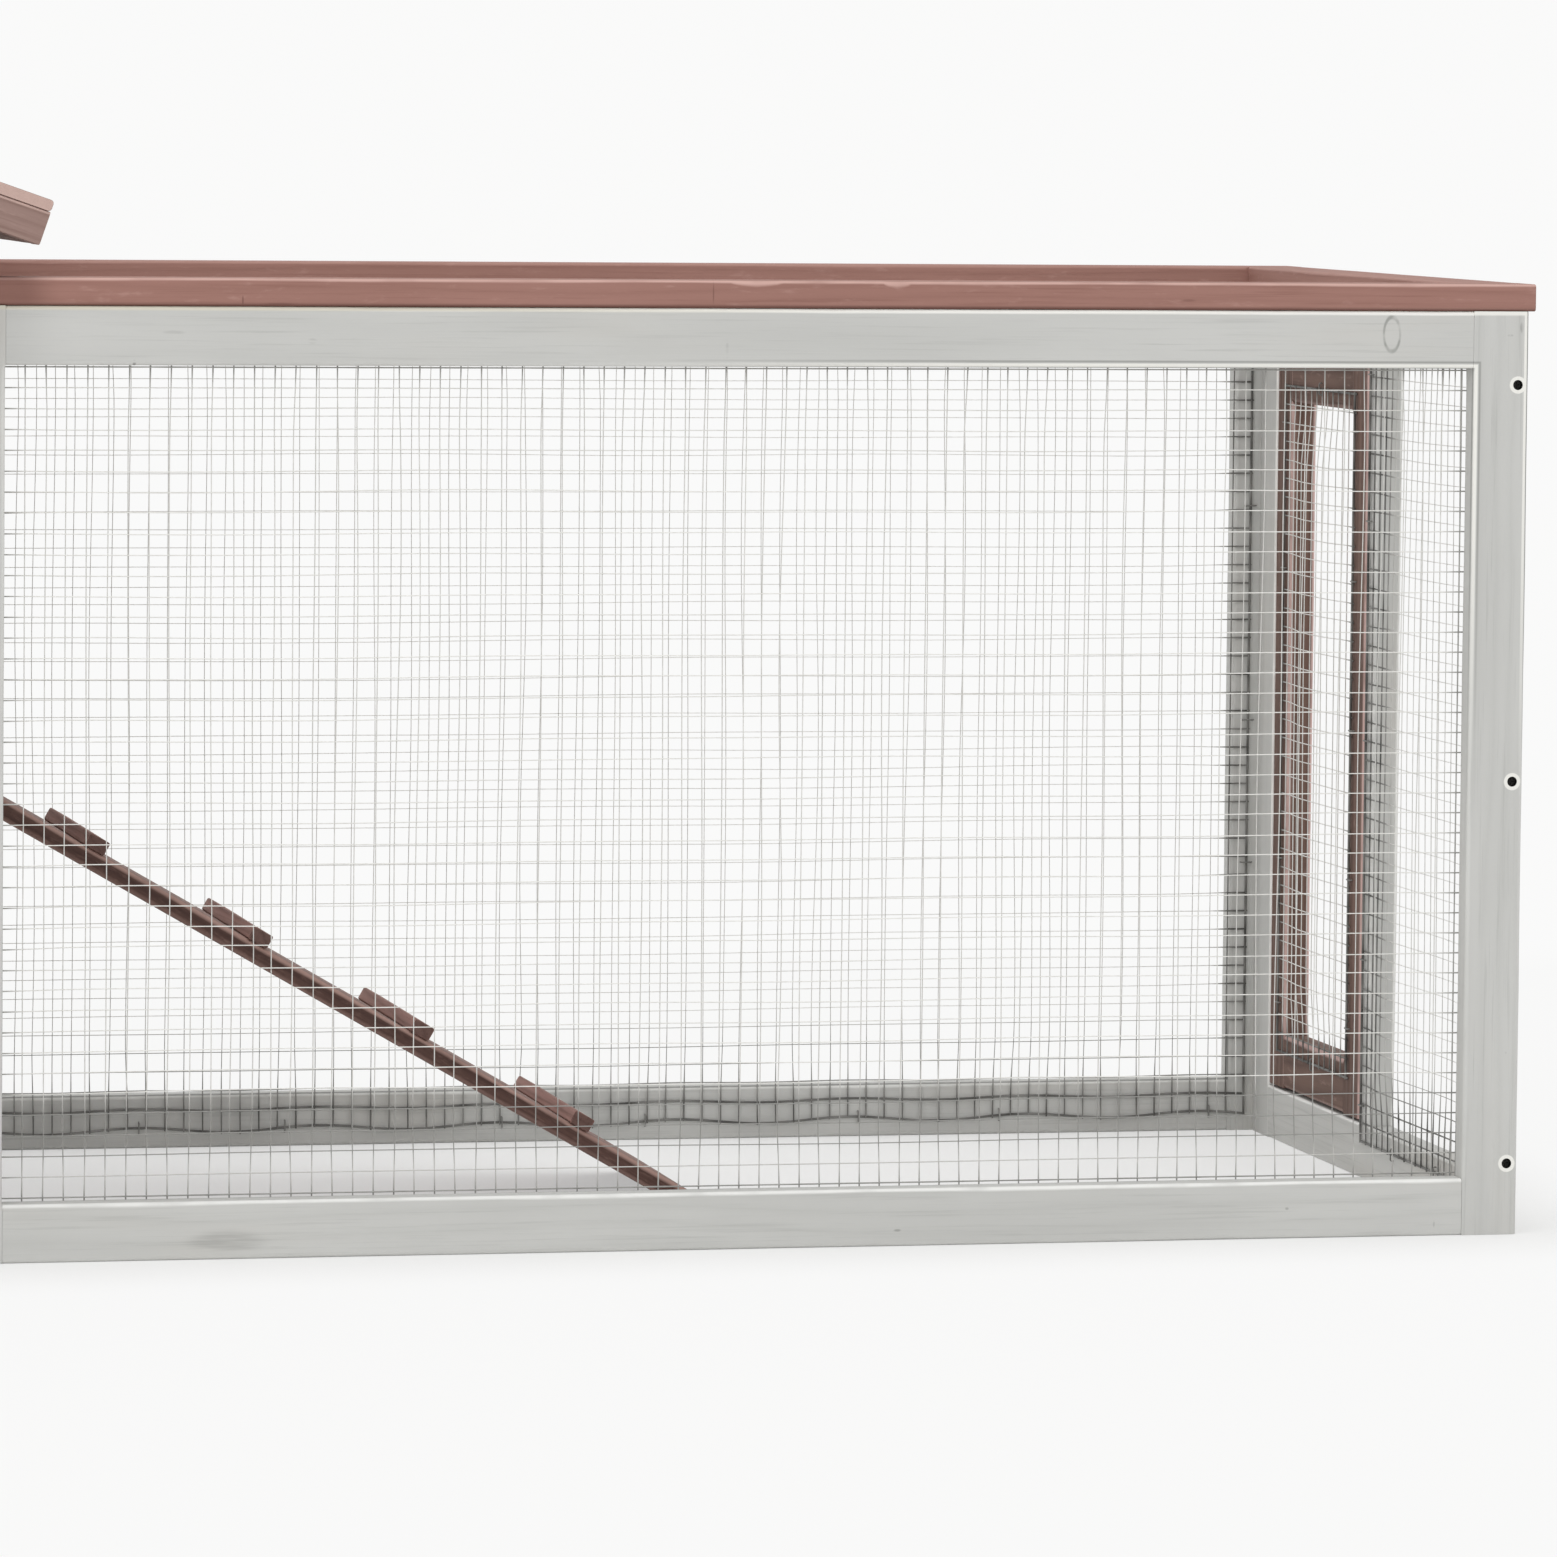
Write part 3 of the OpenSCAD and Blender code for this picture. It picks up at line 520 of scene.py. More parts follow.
def new_group(name, inputs, outputs):
    """A shader node group with named sockets. Inputs maps a name to its default."""
    group = bpy.data.node_groups.new(name, "ShaderNodeTree")
    for label, value in inputs.items():
        kind = "NodeSocketVector" if isinstance(value, tuple) else "NodeSocketFloat"
        group.interface.new_socket(name=label, in_out="INPUT", socket_type=kind).default_value = value
    for label in outputs:
        group.interface.new_socket(name=label, in_out="OUTPUT", socket_type="NodeSocketFloat")
    return group, group.nodes.new("NodeGroupInput").outputs, group.nodes.new("NodeGroupOutput").inputs


def placed(tree, group, *values):
    """Outputs of a group that is placed in a material with these inputs."""
    made = tree.nodes.new("ShaderNodeGroup")
    made.node_tree = group
    for socket, value in zip(made.inputs, values):
        feed(tree, socket, value)
    return made.outputs


# Grain of softwood: growth rings round a pith that lies beside the board, fine fibres along it, broad
# blotches, and the distance to round knots, a few to the metre
KNOTS_PER_METRE = 6.5
KNOT_SHARE = 0.28               # of the places for a knot, those that hold one
PITH = (0, 0.03, 0.045)         # from a board's middle
PITH_DRIFT = (0, 0.03, 0.03)
LATE_WOOD = 2.2                 # how narrow the dark part of a ring is
GRAIN_DEPTH = 0.0007            # of its relief
# Waves to the metre along, across and through a board
DRIFT_WAVES, FIBRE_WAVES, BLOTCH_WAVES = (2.2, 9, 9), (11, 520, 520), (4.5, 17, 17)

grain, given, gives = new_group("softwood grain", {"Plank": (0.0, 0.0, 0.0), "Ring spacing": 0.004},
                                ["Rings", "Fibre", "Blotch", "Knot"])
drift = noise(grain, given["Plank"], DRIFT_WAVES, output="Color")
drift = calc_vector(grain, "SUBTRACT", drift, (0.5, 0.5, 0.5))
bent = calc_vector(grain, "ADD", given["Plank"], calc_vector(grain, "MULTIPLY", drift, PITH_DRIFT))
from_pith = calc_vector(grain, "ADD", calc_vector(grain, "MULTIPLY", bent, (0, 1, 1)), PITH)
turns = calc(grain, "DIVIDE", calc_vector(grain, "LENGTH", from_pith), given["Ring spacing"])
feed(grain, gives["Rings"], calc(grain, "POWER", calc(grain, "PINGPONG", turns, 1.0), LATE_WOOD))
feed(grain, gives["Fibre"], noise(grain, given["Plank"], FIBRE_WAVES, 4.0, 0.6))
feed(grain, gives["Blotch"], noise(grain, given["Plank"], BLOTCH_WAVES, 3.0, 0.6))
cells = add(grain, "TexVoronoi", calc_vector(grain, "MULTIPLY", given["Plank"], (1, 1, 0)))
cells.inputs["Scale"].default_value = KNOTS_PER_METRE
chosen = add(grain, "SeparateColor", cells.outputs["Color"]).outputs[0]
away = calc(grain, "DIVIDE", cells.outputs["Distance"], KNOTS_PER_METRE)
feed(grain, gives["Knot"], calc(grain, "ADD", away, calc(grain, "LESS_THAN", chosen, 1 - KNOT_SHARE)))

# A mark of an oval shape: its fill, which is even in its core, and a line a little inside its edge.
# Lengths are shares of its reach.
OVAL_CORE = 0.35
OVAL_LINE, LINE_CORE, LINE_EDGE = 0.85, 0.03, 0.17

oval_inputs = {"Place": (0.0, 0.0, 0.0), "Middle": (0.0, 0.0, 0.0), "Reach": (1.0, 1.0, 1.0)}
oval, given, gives = new_group("oval mark", oval_inputs, ["Fill", "Rim"])
off = calc_vector(oval, "SUBTRACT", given["Place"], given["Middle"])
far = calc_vector(oval, "LENGTH", calc_vector(oval, "DIVIDE", off, given["Reach"]))
feed(oval, gives["Fill"], step_up(oval, far, 1.0, OVAL_CORE))
from_line = calc(oval, "ABSOLUTE", calc(oval, "SUBTRACT", far, OVAL_LINE))
feed(oval, gives["Rim"], step_up(oval, from_line, LINE_EDGE, LINE_CORE))


def wood_of(tree, spacing):
    """What a wood material reads: the place in its board, the grain, and the board's own attributes."""
    plank = add(tree, "Attribute", attribute_name="plank").outputs["Vector"]
    figure = placed(tree, grain, plank, spacing)
    worn = add(tree, "SeparateXYZ", add(tree, "Attribute", attribute_name="worn").outputs["Vector"]).outputs
    tone = add(tree, "Attribute", attribute_name="tone").outputs["Fac"]
    return plank, figure, worn, tone


def relief(tree, height, strength, depth):
    """Normal of a fine relief of this height."""
    bump = add(tree, "Bump", strength, depth)
    feed(tree, bump.inputs["Height"], height)
    return bump.outputs[0]


def skin(tree, out, colour, inputs):
    """The surface of a material: its colour, and its other inputs by their names."""
    made = add(tree, "BsdfPrincipled", colour)
    for label, value in inputs.items():
        feed(tree, made.inputs[label], value)
    feed(tree, out.inputs["Surface"], made.outputs[0])


def wood_skin(tree, out, colour, height, rough, shine, strength):
    """The surface of finished wood: its colour, a fine relief of the grain, and a dull shine."""
    normal = relief(tree, height, strength, GRAIN_DEPTH)
    skin(tree, out, colour, {"Roughness": rough, "Specular IOR Level": shine, "Normal": normal})


def band(tree, value, low, high, soft):
    """1 between low and high and 0 beyond, with soft sides."""
    rise = step_up(tree, value, low - soft, low + soft)
    return times(tree, rise, step_up(tree, value, high + soft, high - soft))


# Grey paint: matt and thin, so that the grain and a few knots show through, and pale along the edges
# from wear and a painted highlight. A fine dark line lies beside the rounded edge of the openings, and
# near the upper outer corner of a run the rounded edges are pale with worn paint and a painted highlight.
# Painted shade lies at the edge of the openings, behind the net, along the run's end, under the eaves and
# in the screw holes.
GREY = screen(208, 208, 205)
GREY_DIM = screen(201, 201, 198)
GREY_WARM = screen(205, 202, 196)
GREY_EDGE = screen(250, 250, 247)
GREY_LINE = screen(160, 161, 157)
PRIMER = screen(214, 208, 190)
SMUDGE_AND_SHADE = screen(120, 120, 117)
TORN_AND_LIT = screen(250, 249, 243)
BORE_SHADE = screen(22, 21, 20)
KNOT_RADIUS = 0.0085
KNOT_LINE = (0.0011, 0.0002)    # from the edge of a knot's line to where it is full
HAIR = 0.0005                   # keeps the limit of a mark clear of the faces that lie level with it

front_boards = boards_of("right_front_frame")
stiles = sorted(b.span(0) for b in front_boards if b.grain == 2)
rails = sorted(b.span(2) for b in front_boards if b.grain == 0)
OPENING = np.array([[stiles[0][1], 0, rails[0][1]], [stiles[1][0], 0, rails[1][0]]])
RUN_END, RUN_TOP = stiles[1][1], rails[1][1]
FRONT, INSIDE = front_boards[0].span(1)
HOUSE_SIDE = stiles[0][0] + HAIR
OUTER_FRAMES = -INSIDE - HAIR               # front and back frames lie beyond it
OUTER_FACES = -FRONT - 1.25 * FRONT_ARRIS   # their outer faces and rounded edges lie beyond it
screw_spots = middles_of("panel_screws")
SCREW_X = max(spot[0] for spot in screw_spots)
SCREW_HEIGHTS = sorted({round(float(spot[2]), 4) for spot in screw_spots})

# Middle, reach and strength of the marks on the right front frame, and of the ring of its knot
SMUDGES = (((0.6900, FRONT, 0.0110), (0.0300, 0.02, 0.0090), 0.30),
           ((0.6312, FRONT, 0.5462), (0.0014, 0.02, 0.0026), 0.90),
           ((1.5060, FRONT, 0.5710), (0.0015, 0.02, 0.0045), 0.50),
           ((1.4985, FRONT, 0.5660), (0.0025, 0.02, 0.0010), 0.40),
           ((0.7400, FRONT, 0.5600), (0.0040, 0.02, 0.0022), 0.30),
           ((0.6550, FRONT, 0.5650), (0.0090, 0.02, 0.0016), 0.25),
           ((1.1105, FRONT, 0.0100), (0.0030, 0.02, 0.0012), 0.50),
           ((1.4570, FRONT, 0.0085), (0.0008, 0.02, 0.0040), 0.45),
           ((1.3610, FRONT, 0.0190), (0.0016, 0.02, 0.0012), 0.40),
           ((1.5020, FRONT, 0.1150), (0.0014, 0.02, 0.0012), 0.35),
           ((0.9975, FRONT, 0.5560), (0.0012, 0.02, 0.0080), 0.15))
KNOT_RING = ((1.4215, FRONT, 0.5665), (0.0062, 0.02, 0.0125))
RING_STRENGTH = 0.95
# Bands of marks: from, to and how soft. Four go by the distance past the opening's edge, two by that past
# the run's end, then one by that from the middle plane and one by height
TORN_AND_LIT_EDGE, LINE_BESIDE_EDGE = (0.0007, 0.0027, 0.0004), (0.0034, 0.0046, 0.0005)
OPENING_EDGE_SHADE, NET_SHADE_EDGE = (-0.001, 0.0004, 0.0002), (-0.001, 0.0008, 0.0003)
TORN_AND_LIT_END, END_SHADE = (-0.0032, -0.0013, 0.0004), (-0.0012, 0.001, 0.0003)
NET_SHADE_DEPTH = (-INSIDE - 0.0015, -INSIDE + 0.0035, 0.0004)
BARE_AND_LIT_TOP = (RUN_TOP - 0.0025, RUN_TOP + 0.01, 0.0008)
# Where marks begin, and where they are full: along the hutch from its middle, or upwards
TORN_AND_LIT_OUT, UPPER_OUTER_OUT, EAVES_OUT = (0.75, 1.15), (0.9, 1.2), (0.6, 0.53)
UPPER_OUTER_UP, EAVES_UP, NET_SHADE_UP = (0.25, 0.5), (0.5, 0.57), (0.09, 0.06)
RIM_RADIUS, RIM_LINE = 0.0042, (0.0016, 0.0008)     # of the torn rim of a screw hole
BORE_REACH = HOLE_RADIUS + 0.0001
BORE_SUNK = 0.0006                                  # how deep the black of a bore begins

grey_paint, tree, out = new_material("grey paint")
plank, figure, worn, tone = wood_of(tree, 0.0042)
place = place_on(tree)
colour = mix(tree, step_up(tree, figure["Blotch"], 0.32, 0.68), GREY_DIM, GREY)
warm = step_up(tree, noise(tree, plank, (3.1, 14, 14), 3.0), 0.52, 0.72)
colour = over(tree, colour, GREY_WARM, warm, 0.7)
colour = over(tree, colour, GREY_LINE, figure["Rings"], 0.13)
creased = step_up(tree, figure["Fibre"], 0.52, 0.74)
colour = over(tree, colour, GREY_LINE, creased, 0.34)
colour = over(tree, colour, GREY, tone, 0.25)
from_line = calc(tree, "ABSOLUTE", calc(tree, "SUBTRACT", figure["Knot"], KNOT_RADIUS))
knot_line = times(tree, step_up(tree, from_line, *KNOT_LINE), 0.35)
broken = step_up(tree, noise(tree, place, (90, 90, 90)), 0.4, 0.6)
broken = calc(tree, "MULTIPLY_ADD", broken, 0.8, 0.2)
ring = times(tree, placed(tree, oval, place, *KNOT_RING)["Rim"], broken, RING_STRENGTH)
knots = greatest(tree, knot_line, ring)
colour = over(tree, colour, GREY_LINE, knots)
streaky = step_up(tree, noise(tree, plank, (20, 300, 300), 3.0), 0.35, 0.6)
for middle, reach, strength in SMUDGES:
    smudge = placed(tree, oval, place, middle, reach)["Fill"]
    colour = over(tree, colour, SMUDGE_AND_SHADE, smudge, streaky, strength)
# Pale edges: worn paint with a painted highlight
patchy = step_up(tree, noise(tree, plank, (30, 30, 30)), 0.25, 0.55)
patchy = calc(tree, "MULTIPLY_ADD", patchy, 0.45, 0.5)
colour = over(tree, colour, GREY_EDGE, worn[0], patchy)

mirrored = calc_vector(tree, "ABSOLUTE", place)
from_middle, outwards, upwards = add(tree, "SeparateXYZ", mirrored).outputs
in_run = calc(tree, "GREATER_THAN", from_middle, HOUSE_SIDE)
# Pale top of the rails: primer towards the house, and worn paint with a painted highlight further out
bare_and_lit = mix(tree, step_up(tree, from_middle, *TORN_AND_LIT_OUT), PRIMER, TORN_AND_LIT)
colour = over(tree, colour, bare_and_lit, band(tree, upwards, *BARE_AND_LIT_TOP), in_run, 0.85)
beyond = calc_vector(tree, "SUBTRACT", mirrored, tuple(OPENING.mean(0)))
beyond = calc_vector(tree, "ABSOLUTE", beyond)
beyond = calc_vector(tree, "SUBTRACT", beyond, tuple((OPENING[1] - OPENING[0]) / 2))
beyond = add(tree, "SeparateXYZ", beyond).outputs
beyond = greatest(tree, beyond[0], beyond[2])
past_end = calc(tree, "SUBTRACT", from_middle, RUN_END)
upper_outer = times(tree, step_up(tree, from_middle, *UPPER_OUTER_OUT), step_up(tree, upwards, *UPPER_OUTER_UP),
                calc(tree, "GREATER_THAN", outwards, OUTER_FACES))
# Pale bands on the rounded edges near the upper outer corner: worn paint and a painted highlight
torn_and_lit = greatest(tree, band(tree, beyond, *TORN_AND_LIT_EDGE), band(tree, past_end, *TORN_AND_LIT_END))
colour = over(tree, colour, TORN_AND_LIT, torn_and_lit, upper_outer, 0.9)
# A fine dark line beside the rounded edge of the openings, and painted shade right at that edge
line_and_shade = greatest(tree, band(tree, beyond, *LINE_BESIDE_EDGE), band(tree, beyond, *OPENING_EDGE_SHADE))
colour = over(tree, colour, SMUDGE_AND_SHADE, line_and_shade, upper_outer, 0.55)
# Painted shade along the rounded outer edge at the run's end
colour = over(tree, colour, SMUDGE_AND_SHADE, band(tree, past_end, *END_SHADE), upper_outer, 0.85)
# Painted shade in the gap behind the net, along the lower edge of the openings
shade_behind_net = times(tree, band(tree, outwards, *NET_SHADE_DEPTH), band(tree, beyond, *NET_SHADE_EDGE))
colour = over(tree, colour, SMUDGE_AND_SHADE, shade_behind_net, step_up(tree, upwards, *NET_SHADE_UP), 0.75)
# Painted shade under the eaves, near the house
eaves_shade = times(tree, step_up(tree, from_middle, *EAVES_OUT), step_up(tree, upwards, *EAVES_UP))
colour = over(tree, colour, SMUDGE_AND_SHADE, eaves_shade, in_run, 0.25)

outer = calc(tree, "GREATER_THAN", outwards, OUTER_FRAMES)
rims, bore_shades = [], []
for height in SCREW_HEIGHTS:
    off = calc_vector(tree, "SUBTRACT", mirrored, (SCREW_X, 0.0, height))
    far = calc_vector(tree, "LENGTH", calc_vector(tree, "MULTIPLY", off, (1.0, 0.0, 1.0)))
    from_rim = calc(tree, "ABSOLUTE", calc(tree, "SUBTRACT", far, RIM_RADIUS))
    rims.append(step_up(tree, from_rim, *RIM_LINE))
    bore_shades.append(calc(tree, "LESS_THAN", far, BORE_REACH))
# Pale torn rims round the screw holes, and painted shade down in their bores
sunk = calc(tree, "LESS_THAN", outwards, -FRONT - BORE_SUNK)
colour = over(tree, colour, TORN_AND_LIT, greatest(tree, *rims), outer, 0.9)
colour = over(tree, colour, BORE_SHADE, greatest(tree, *bore_shades), sunk, outer)
height = calc(tree, "MULTIPLY_ADD", figure["Fibre"], 0.5, times(tree, figure["Rings"], 0.4))
height = calc(tree, "MULTIPLY_ADD", knots, -0.8, height)
wood_skin(tree, out, colour, height, 0.62, 0.35, 0.35)

# How pale the frames' edges are, from wear and a painted highlight
STILE_WEAR_AND_HIGHLIGHT, RAIL_WEAR_AND_HIGHLIGHT = (0.1, 0.5), (0.8, 1.0)      # low down or inside, and high up or outside


def front_wear_and_highlight(board):
    """The rails' edges are paler than the stiles', and both more so towards the upper outer corners: wear
    and a painted highlight.
    """
    low, high = STILE_WEAR_AND_HIGHLIGHT if board.grain == 2 else RAIL_WEAR_AND_HIGHLIGHT
    return (low, high) if board.grain == 2 or board.low[0] > 0 else (high, low)


for side in SIDES:
    for face, node in ((FRONT_FACE, f"{side}_front_frame"), (BACK_FACE, f"{side}_back_frame")):
        boards = boards_of(node)
        for board in (b for b in boards if b.grain == 2):
            board.holes = [(face, z, x) for x, y, z in screw_spots
                           if board.low[0] < x < board.high[0] and (y < 0) == (face == FRONT_FACE)]
        woodwork(f"{node}_boards", [node], "hutch", "grey_paint", grey_paint, boards, FRONT_ARRIS,
                 wear_on=front_wear_and_highlight)


# End panels of the runs. A frame of the same grey boards, with a fixed pane at the front and the
# doorway of the end door at the back.
for side in SIDES:
    node = f"{side}_end_frame"
    woodwork(f"{node}_boards", [node], "hutch", "grey_paint", grey_paint, boards_of(node))


# Panel screws. Blackened chipboard screws hold the stiles to the end panels. They sit deep in their
# holes, and their heads have crossed slots with some dust in them.
blackened, tree, out = new_material("blackened steel")
dust = noise(tree, place_on(tree), (900, 900, 900), 3.0, 0.6)
colour = mix(tree, step_up(tree, dust, 0.4, 0.7), screen(30, 29, 28), screen(62, 60, 57))
skin(tree, out, colour, {"Metallic": 0.4, "Roughness": calc(tree, "MULTIPLY_ADD", dust, 0.3, 0.4)})


def finish_node(node, material):
    """Gives a CAD node that stays its material."""
    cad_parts[node].material_slots[0].material = material


finish_node("panel_screws", blackened)


# Top frames. A flat frame of brown-stained boards lies on each run and holds its mesh roof. The thin
# stain is darker in end grain and on sawn faces, which drink more of it, and is pale pink along the
# edges, from wear and a painted highlight. The right frame's front rail has two chips.
CHIPS = ((1.016, 0.015, 0.0022), (1.1044, 0.008, 0.0026))   # middle, half length and depth
# Middle, reach and strength of dark marks on that frame's front: a joint, a small knot, two streaks,
# painted shade along the lower edge, and the painted shadow of the eaves on the end
RAIL_MARKS_AND_SHADE = (((0.9886, FRONT, 0.5900), (0.0007, 0.02, 0.0085), 0.55),
              ((0.6972, FRONT, 0.5845), (0.0008, 0.02, 0.0042), 0.7),
              ((0.7195, FRONT, 0.5825), (0.0140, 0.02, 0.0010), 0.6),
              ((1.2900, FRONT, 0.5870), (0.0060, 0.02, 0.0012), 0.4),
              ((1.0500, FRONT, 0.5808), (1.2000, 0.02, 0.0030), 1.0),
              ((0.5500, FRONT, 0.5880), (0.0380, 0.03, 0.0300), 0.6))


def stained(name, plain, dim, line, edge, thin, end, thin_share, rings, marks=()):
    """A stained wood from its colours: the face, its darker patches, its grain lines, its pale edges, worn
    and with a painted highlight, its thin faces and its end grain. Thin_share and rings say how strongly
    thin faces and rings show, and marks holds middle, reach and strength of dark marks, some painted shade."""
    made, tree, out = new_material(name)
    plank, figure, worn, tone = wood_of(tree, 0.0036)
    place = place_on(tree)
    colour = mix(tree, step_up(tree, figure["Blotch"], 0.3, 0.72), dim, plain)
    colour = over(tree, colour, dim, tone, 0.35)
    colour = over(tree, colour, thin, worn[2], thin_share)
    colour = over(tree, colour, line, figure["Rings"], rings)
    colour = over(tree, colour, line, step_up(tree, figure["Fibre"], 0.5, 0.74), 0.5)
    flecks = step_up(tree, noise(tree, plank, (110, 420, 420), 3.0, 0.6), 0.5, 0.75)
    colour = over(tree, colour, dim, flecks, 0.3)
    pale = step_up(tree, noise(tree, plank, (60, 240, 240), 3.0, 0.6), 0.56, 0.8)
    colour = over(tree, colour, edge, pale, 0.2)
    knot = step_up(tree, figure["Knot"], KNOT_RADIUS * 1.15, KNOT_RADIUS * 0.6)
    colour = over(tree, colour, line, knot, 0.55)
    colour = over(tree, colour, end, worn[1], 0.7)
    # Pale edges: wear and a painted highlight
    patchy = step_up(tree, noise(tree, plank, (26, 26, 26)), 0.2, 0.55)
    patchy = calc(tree, "MULTIPLY_ADD", patchy, 0.45, 0.4)
    colour = over(tree, colour, edge, worn[0], patchy)
    # Dark marks in the end grain's colour, some of them painted shade
    for middle, reach, strength in marks:
        colour = over(tree, colour, end, placed(tree, oval, place, middle, reach)["Fill"], strength)
    height = calc(tree, "MULTIPLY_ADD", figure["Fibre"], 0.6, times(tree, figure["Rings"], 0.5))
    wood_skin(tree, out, colour, height, 0.66, 0.3, 0.5)
    return made


brown_stain = stained("brown stain", screen(172, 129, 118), screen(160, 118, 107), screen(136, 95, 84),
                      screen(218, 180, 170), screen(158, 116, 106), screen(116, 80, 71), 0.3, 0.22,
                      RAIL_MARKS_AND_SHADE)


def front_rail_chips(board):
    """The chips, for the right frame's front rail alone."""
    return CHIPS if board.grain == 0 and board.low[0] > 0 and board.high[1] < 0 else ()


def top_frame_wear_and_highlight(board):
    """The front rail's edges are worn pale and carry a painted highlight. The others keep most of their
    stain.
    """
    return 1.0 if board.high[1] < 0 else 0.25


for side in SIDES:
    node = f"{side}_top_frame"
    woodwork(f"{node}_boards", [node], "hutch", "brown_stain", brown_stain, boards_of(node),
             chips_on=front_rail_chips, wear_on=top_frame_wear_and_highlight)


# End doors. A frame of four boards in the doorway of the end panel, hinged on the outside. Its stain is
# darker and browner, and its edges, which rub in the doorway, are rounded over and pale, worn and with a
# painted highlight.
DOOR_ARRIS = 0.0032

door_stain = stained("door stain", screen(126, 100, 89), screen(106, 83, 74), screen(72, 52, 45),
                     screen(226, 194, 188), screen(118, 92, 82), screen(76, 53, 47), 0.3, 0.45)
for side in SIDES:
    node = f"{side}_end_door_frame"
    woodwork(f"{node}_boards", [node], f"{side}_end_door", "brown_stain", door_stain, boards_of(node),
             DOOR_ARRIS)


# Welded mesh. Half-inch galvanised mesh is stapled inside every frame: thin cross wires lie on the
# wood, upright wires are welded on them, and the outermost wires are thicker. The wires are painted dark
# where they lie over the wood and low in the runs, as painted shade, and the upright wires are duller than
# the cross wires, partly from tarnish and partly as painted shade.
MESH = 0.0127                    # pitch
WIRE = 0.00035                   # radius
FINE_WIRE = 0.00028              # the same in the finer sheets of the fixed panes and the backs
SELVAGE = 0.00085                # radius of the outermost wires
HEM_WIRE = 0.00062               # radius where zinc has pooled on the wood
SAGGED_WIRE = 0.00080            # the same of the lowest wires that sag
TUBE_SIDES = 5
STILL_EDGE, LOOSE_FROM = 0.010, 0.060   # from a sheet's edge: still before the one, free past the other
SHEET_SWAY = (0.0009, 0.0007)    # how far the whole sheet wanders: across and upwards
BULGE, BULGE_IN = 0.0030, 0.3    # away from the wood and towards it, and how much more of it is away
WAVE_SHARES = np.array([0.4, 0.3, 0.2, 0.1])
COLUMN_WANDER, ROW_WANDER = (0.0005, 0.0010), (0.00025, 0.0005)     # step and swing of each wire
SNIPPED = (0.0004, 0.0016)       # shortest and longest end past the outermost wire
STAPLE_PITCH, FIRST_STAPLE = 0.123, 0.05            # apart, and from the sheet's end
SAG, SAG_IN, SAG_REACH = 0.0034, 0.0022, 0.045      # down, away from the wood, and up to which height
HEM_FULL, HEM_GONE = 0.5, 1.125  # shares of a hem's width: shaded up to the one, clear past the other
LOW_SHADE = 0.68                    # how dark the painted shade makes the lowest wires
LOW_SHADE_FOOT = 0.25                  # share of it below the shaded heights
LOW_SHADE_FADE = 0.015                 # height over which it fades out
FRONT_LOW_SHADE = (0.045, 0.088)       # heights between which the front sheets get that shade

galvanised, tree, out = new_material("galvanised wire")
spangle = noise(tree, place_on(tree), (160, 160, 160), 3.0, 0.6)
# Dullness from tarnish, and painted shade at the hems and low down
dull = add(tree, "Attribute", attribute_name="dull").outputs["Fac"]
colour = mix(tree, step_up(tree, spangle, 0.3, 0.7), screen(238, 237, 232), screen(250, 249, 245))
colour = over(tree, colour, screen(74, 73, 70), dull)
skin(tree, out, colour, {"Metallic": 0.1, "Roughness": calc(tree, "MULTIPLY_ADD", spangle, 0.25, 0.38)})


def tubes(paths, radius, sides, one, two):
    """Tubes along many paths at once: paths is wires by points by 3, and round each point lies a ring
    of corners on a circle across the wire, between the directions one and two. Caps close both ends."""
    wires, points = paths.shape[:2]
    angle = np.arange(sides) * 2 * pi / sides
    ring = np.cos(angle)[:, None] * one + np.sin(angle)[:, None] * two
    radius = np.broadcast_to(np.reshape(radius, (len(np.atleast_1d(radius)), -1)), (wires, points))
    co = paths[:, :, None] + radius[..., None, None] * ring
    return co.reshape(-1, 3), [(faces, None) for faces in ring_faces(wires, points, sides)]


def ease_in(x):
    """Smooth step of a share that is first kept between 0 and 1."""
    x = np.clip(x, 0, 1)
    return x * x * (3 - 2 * x)


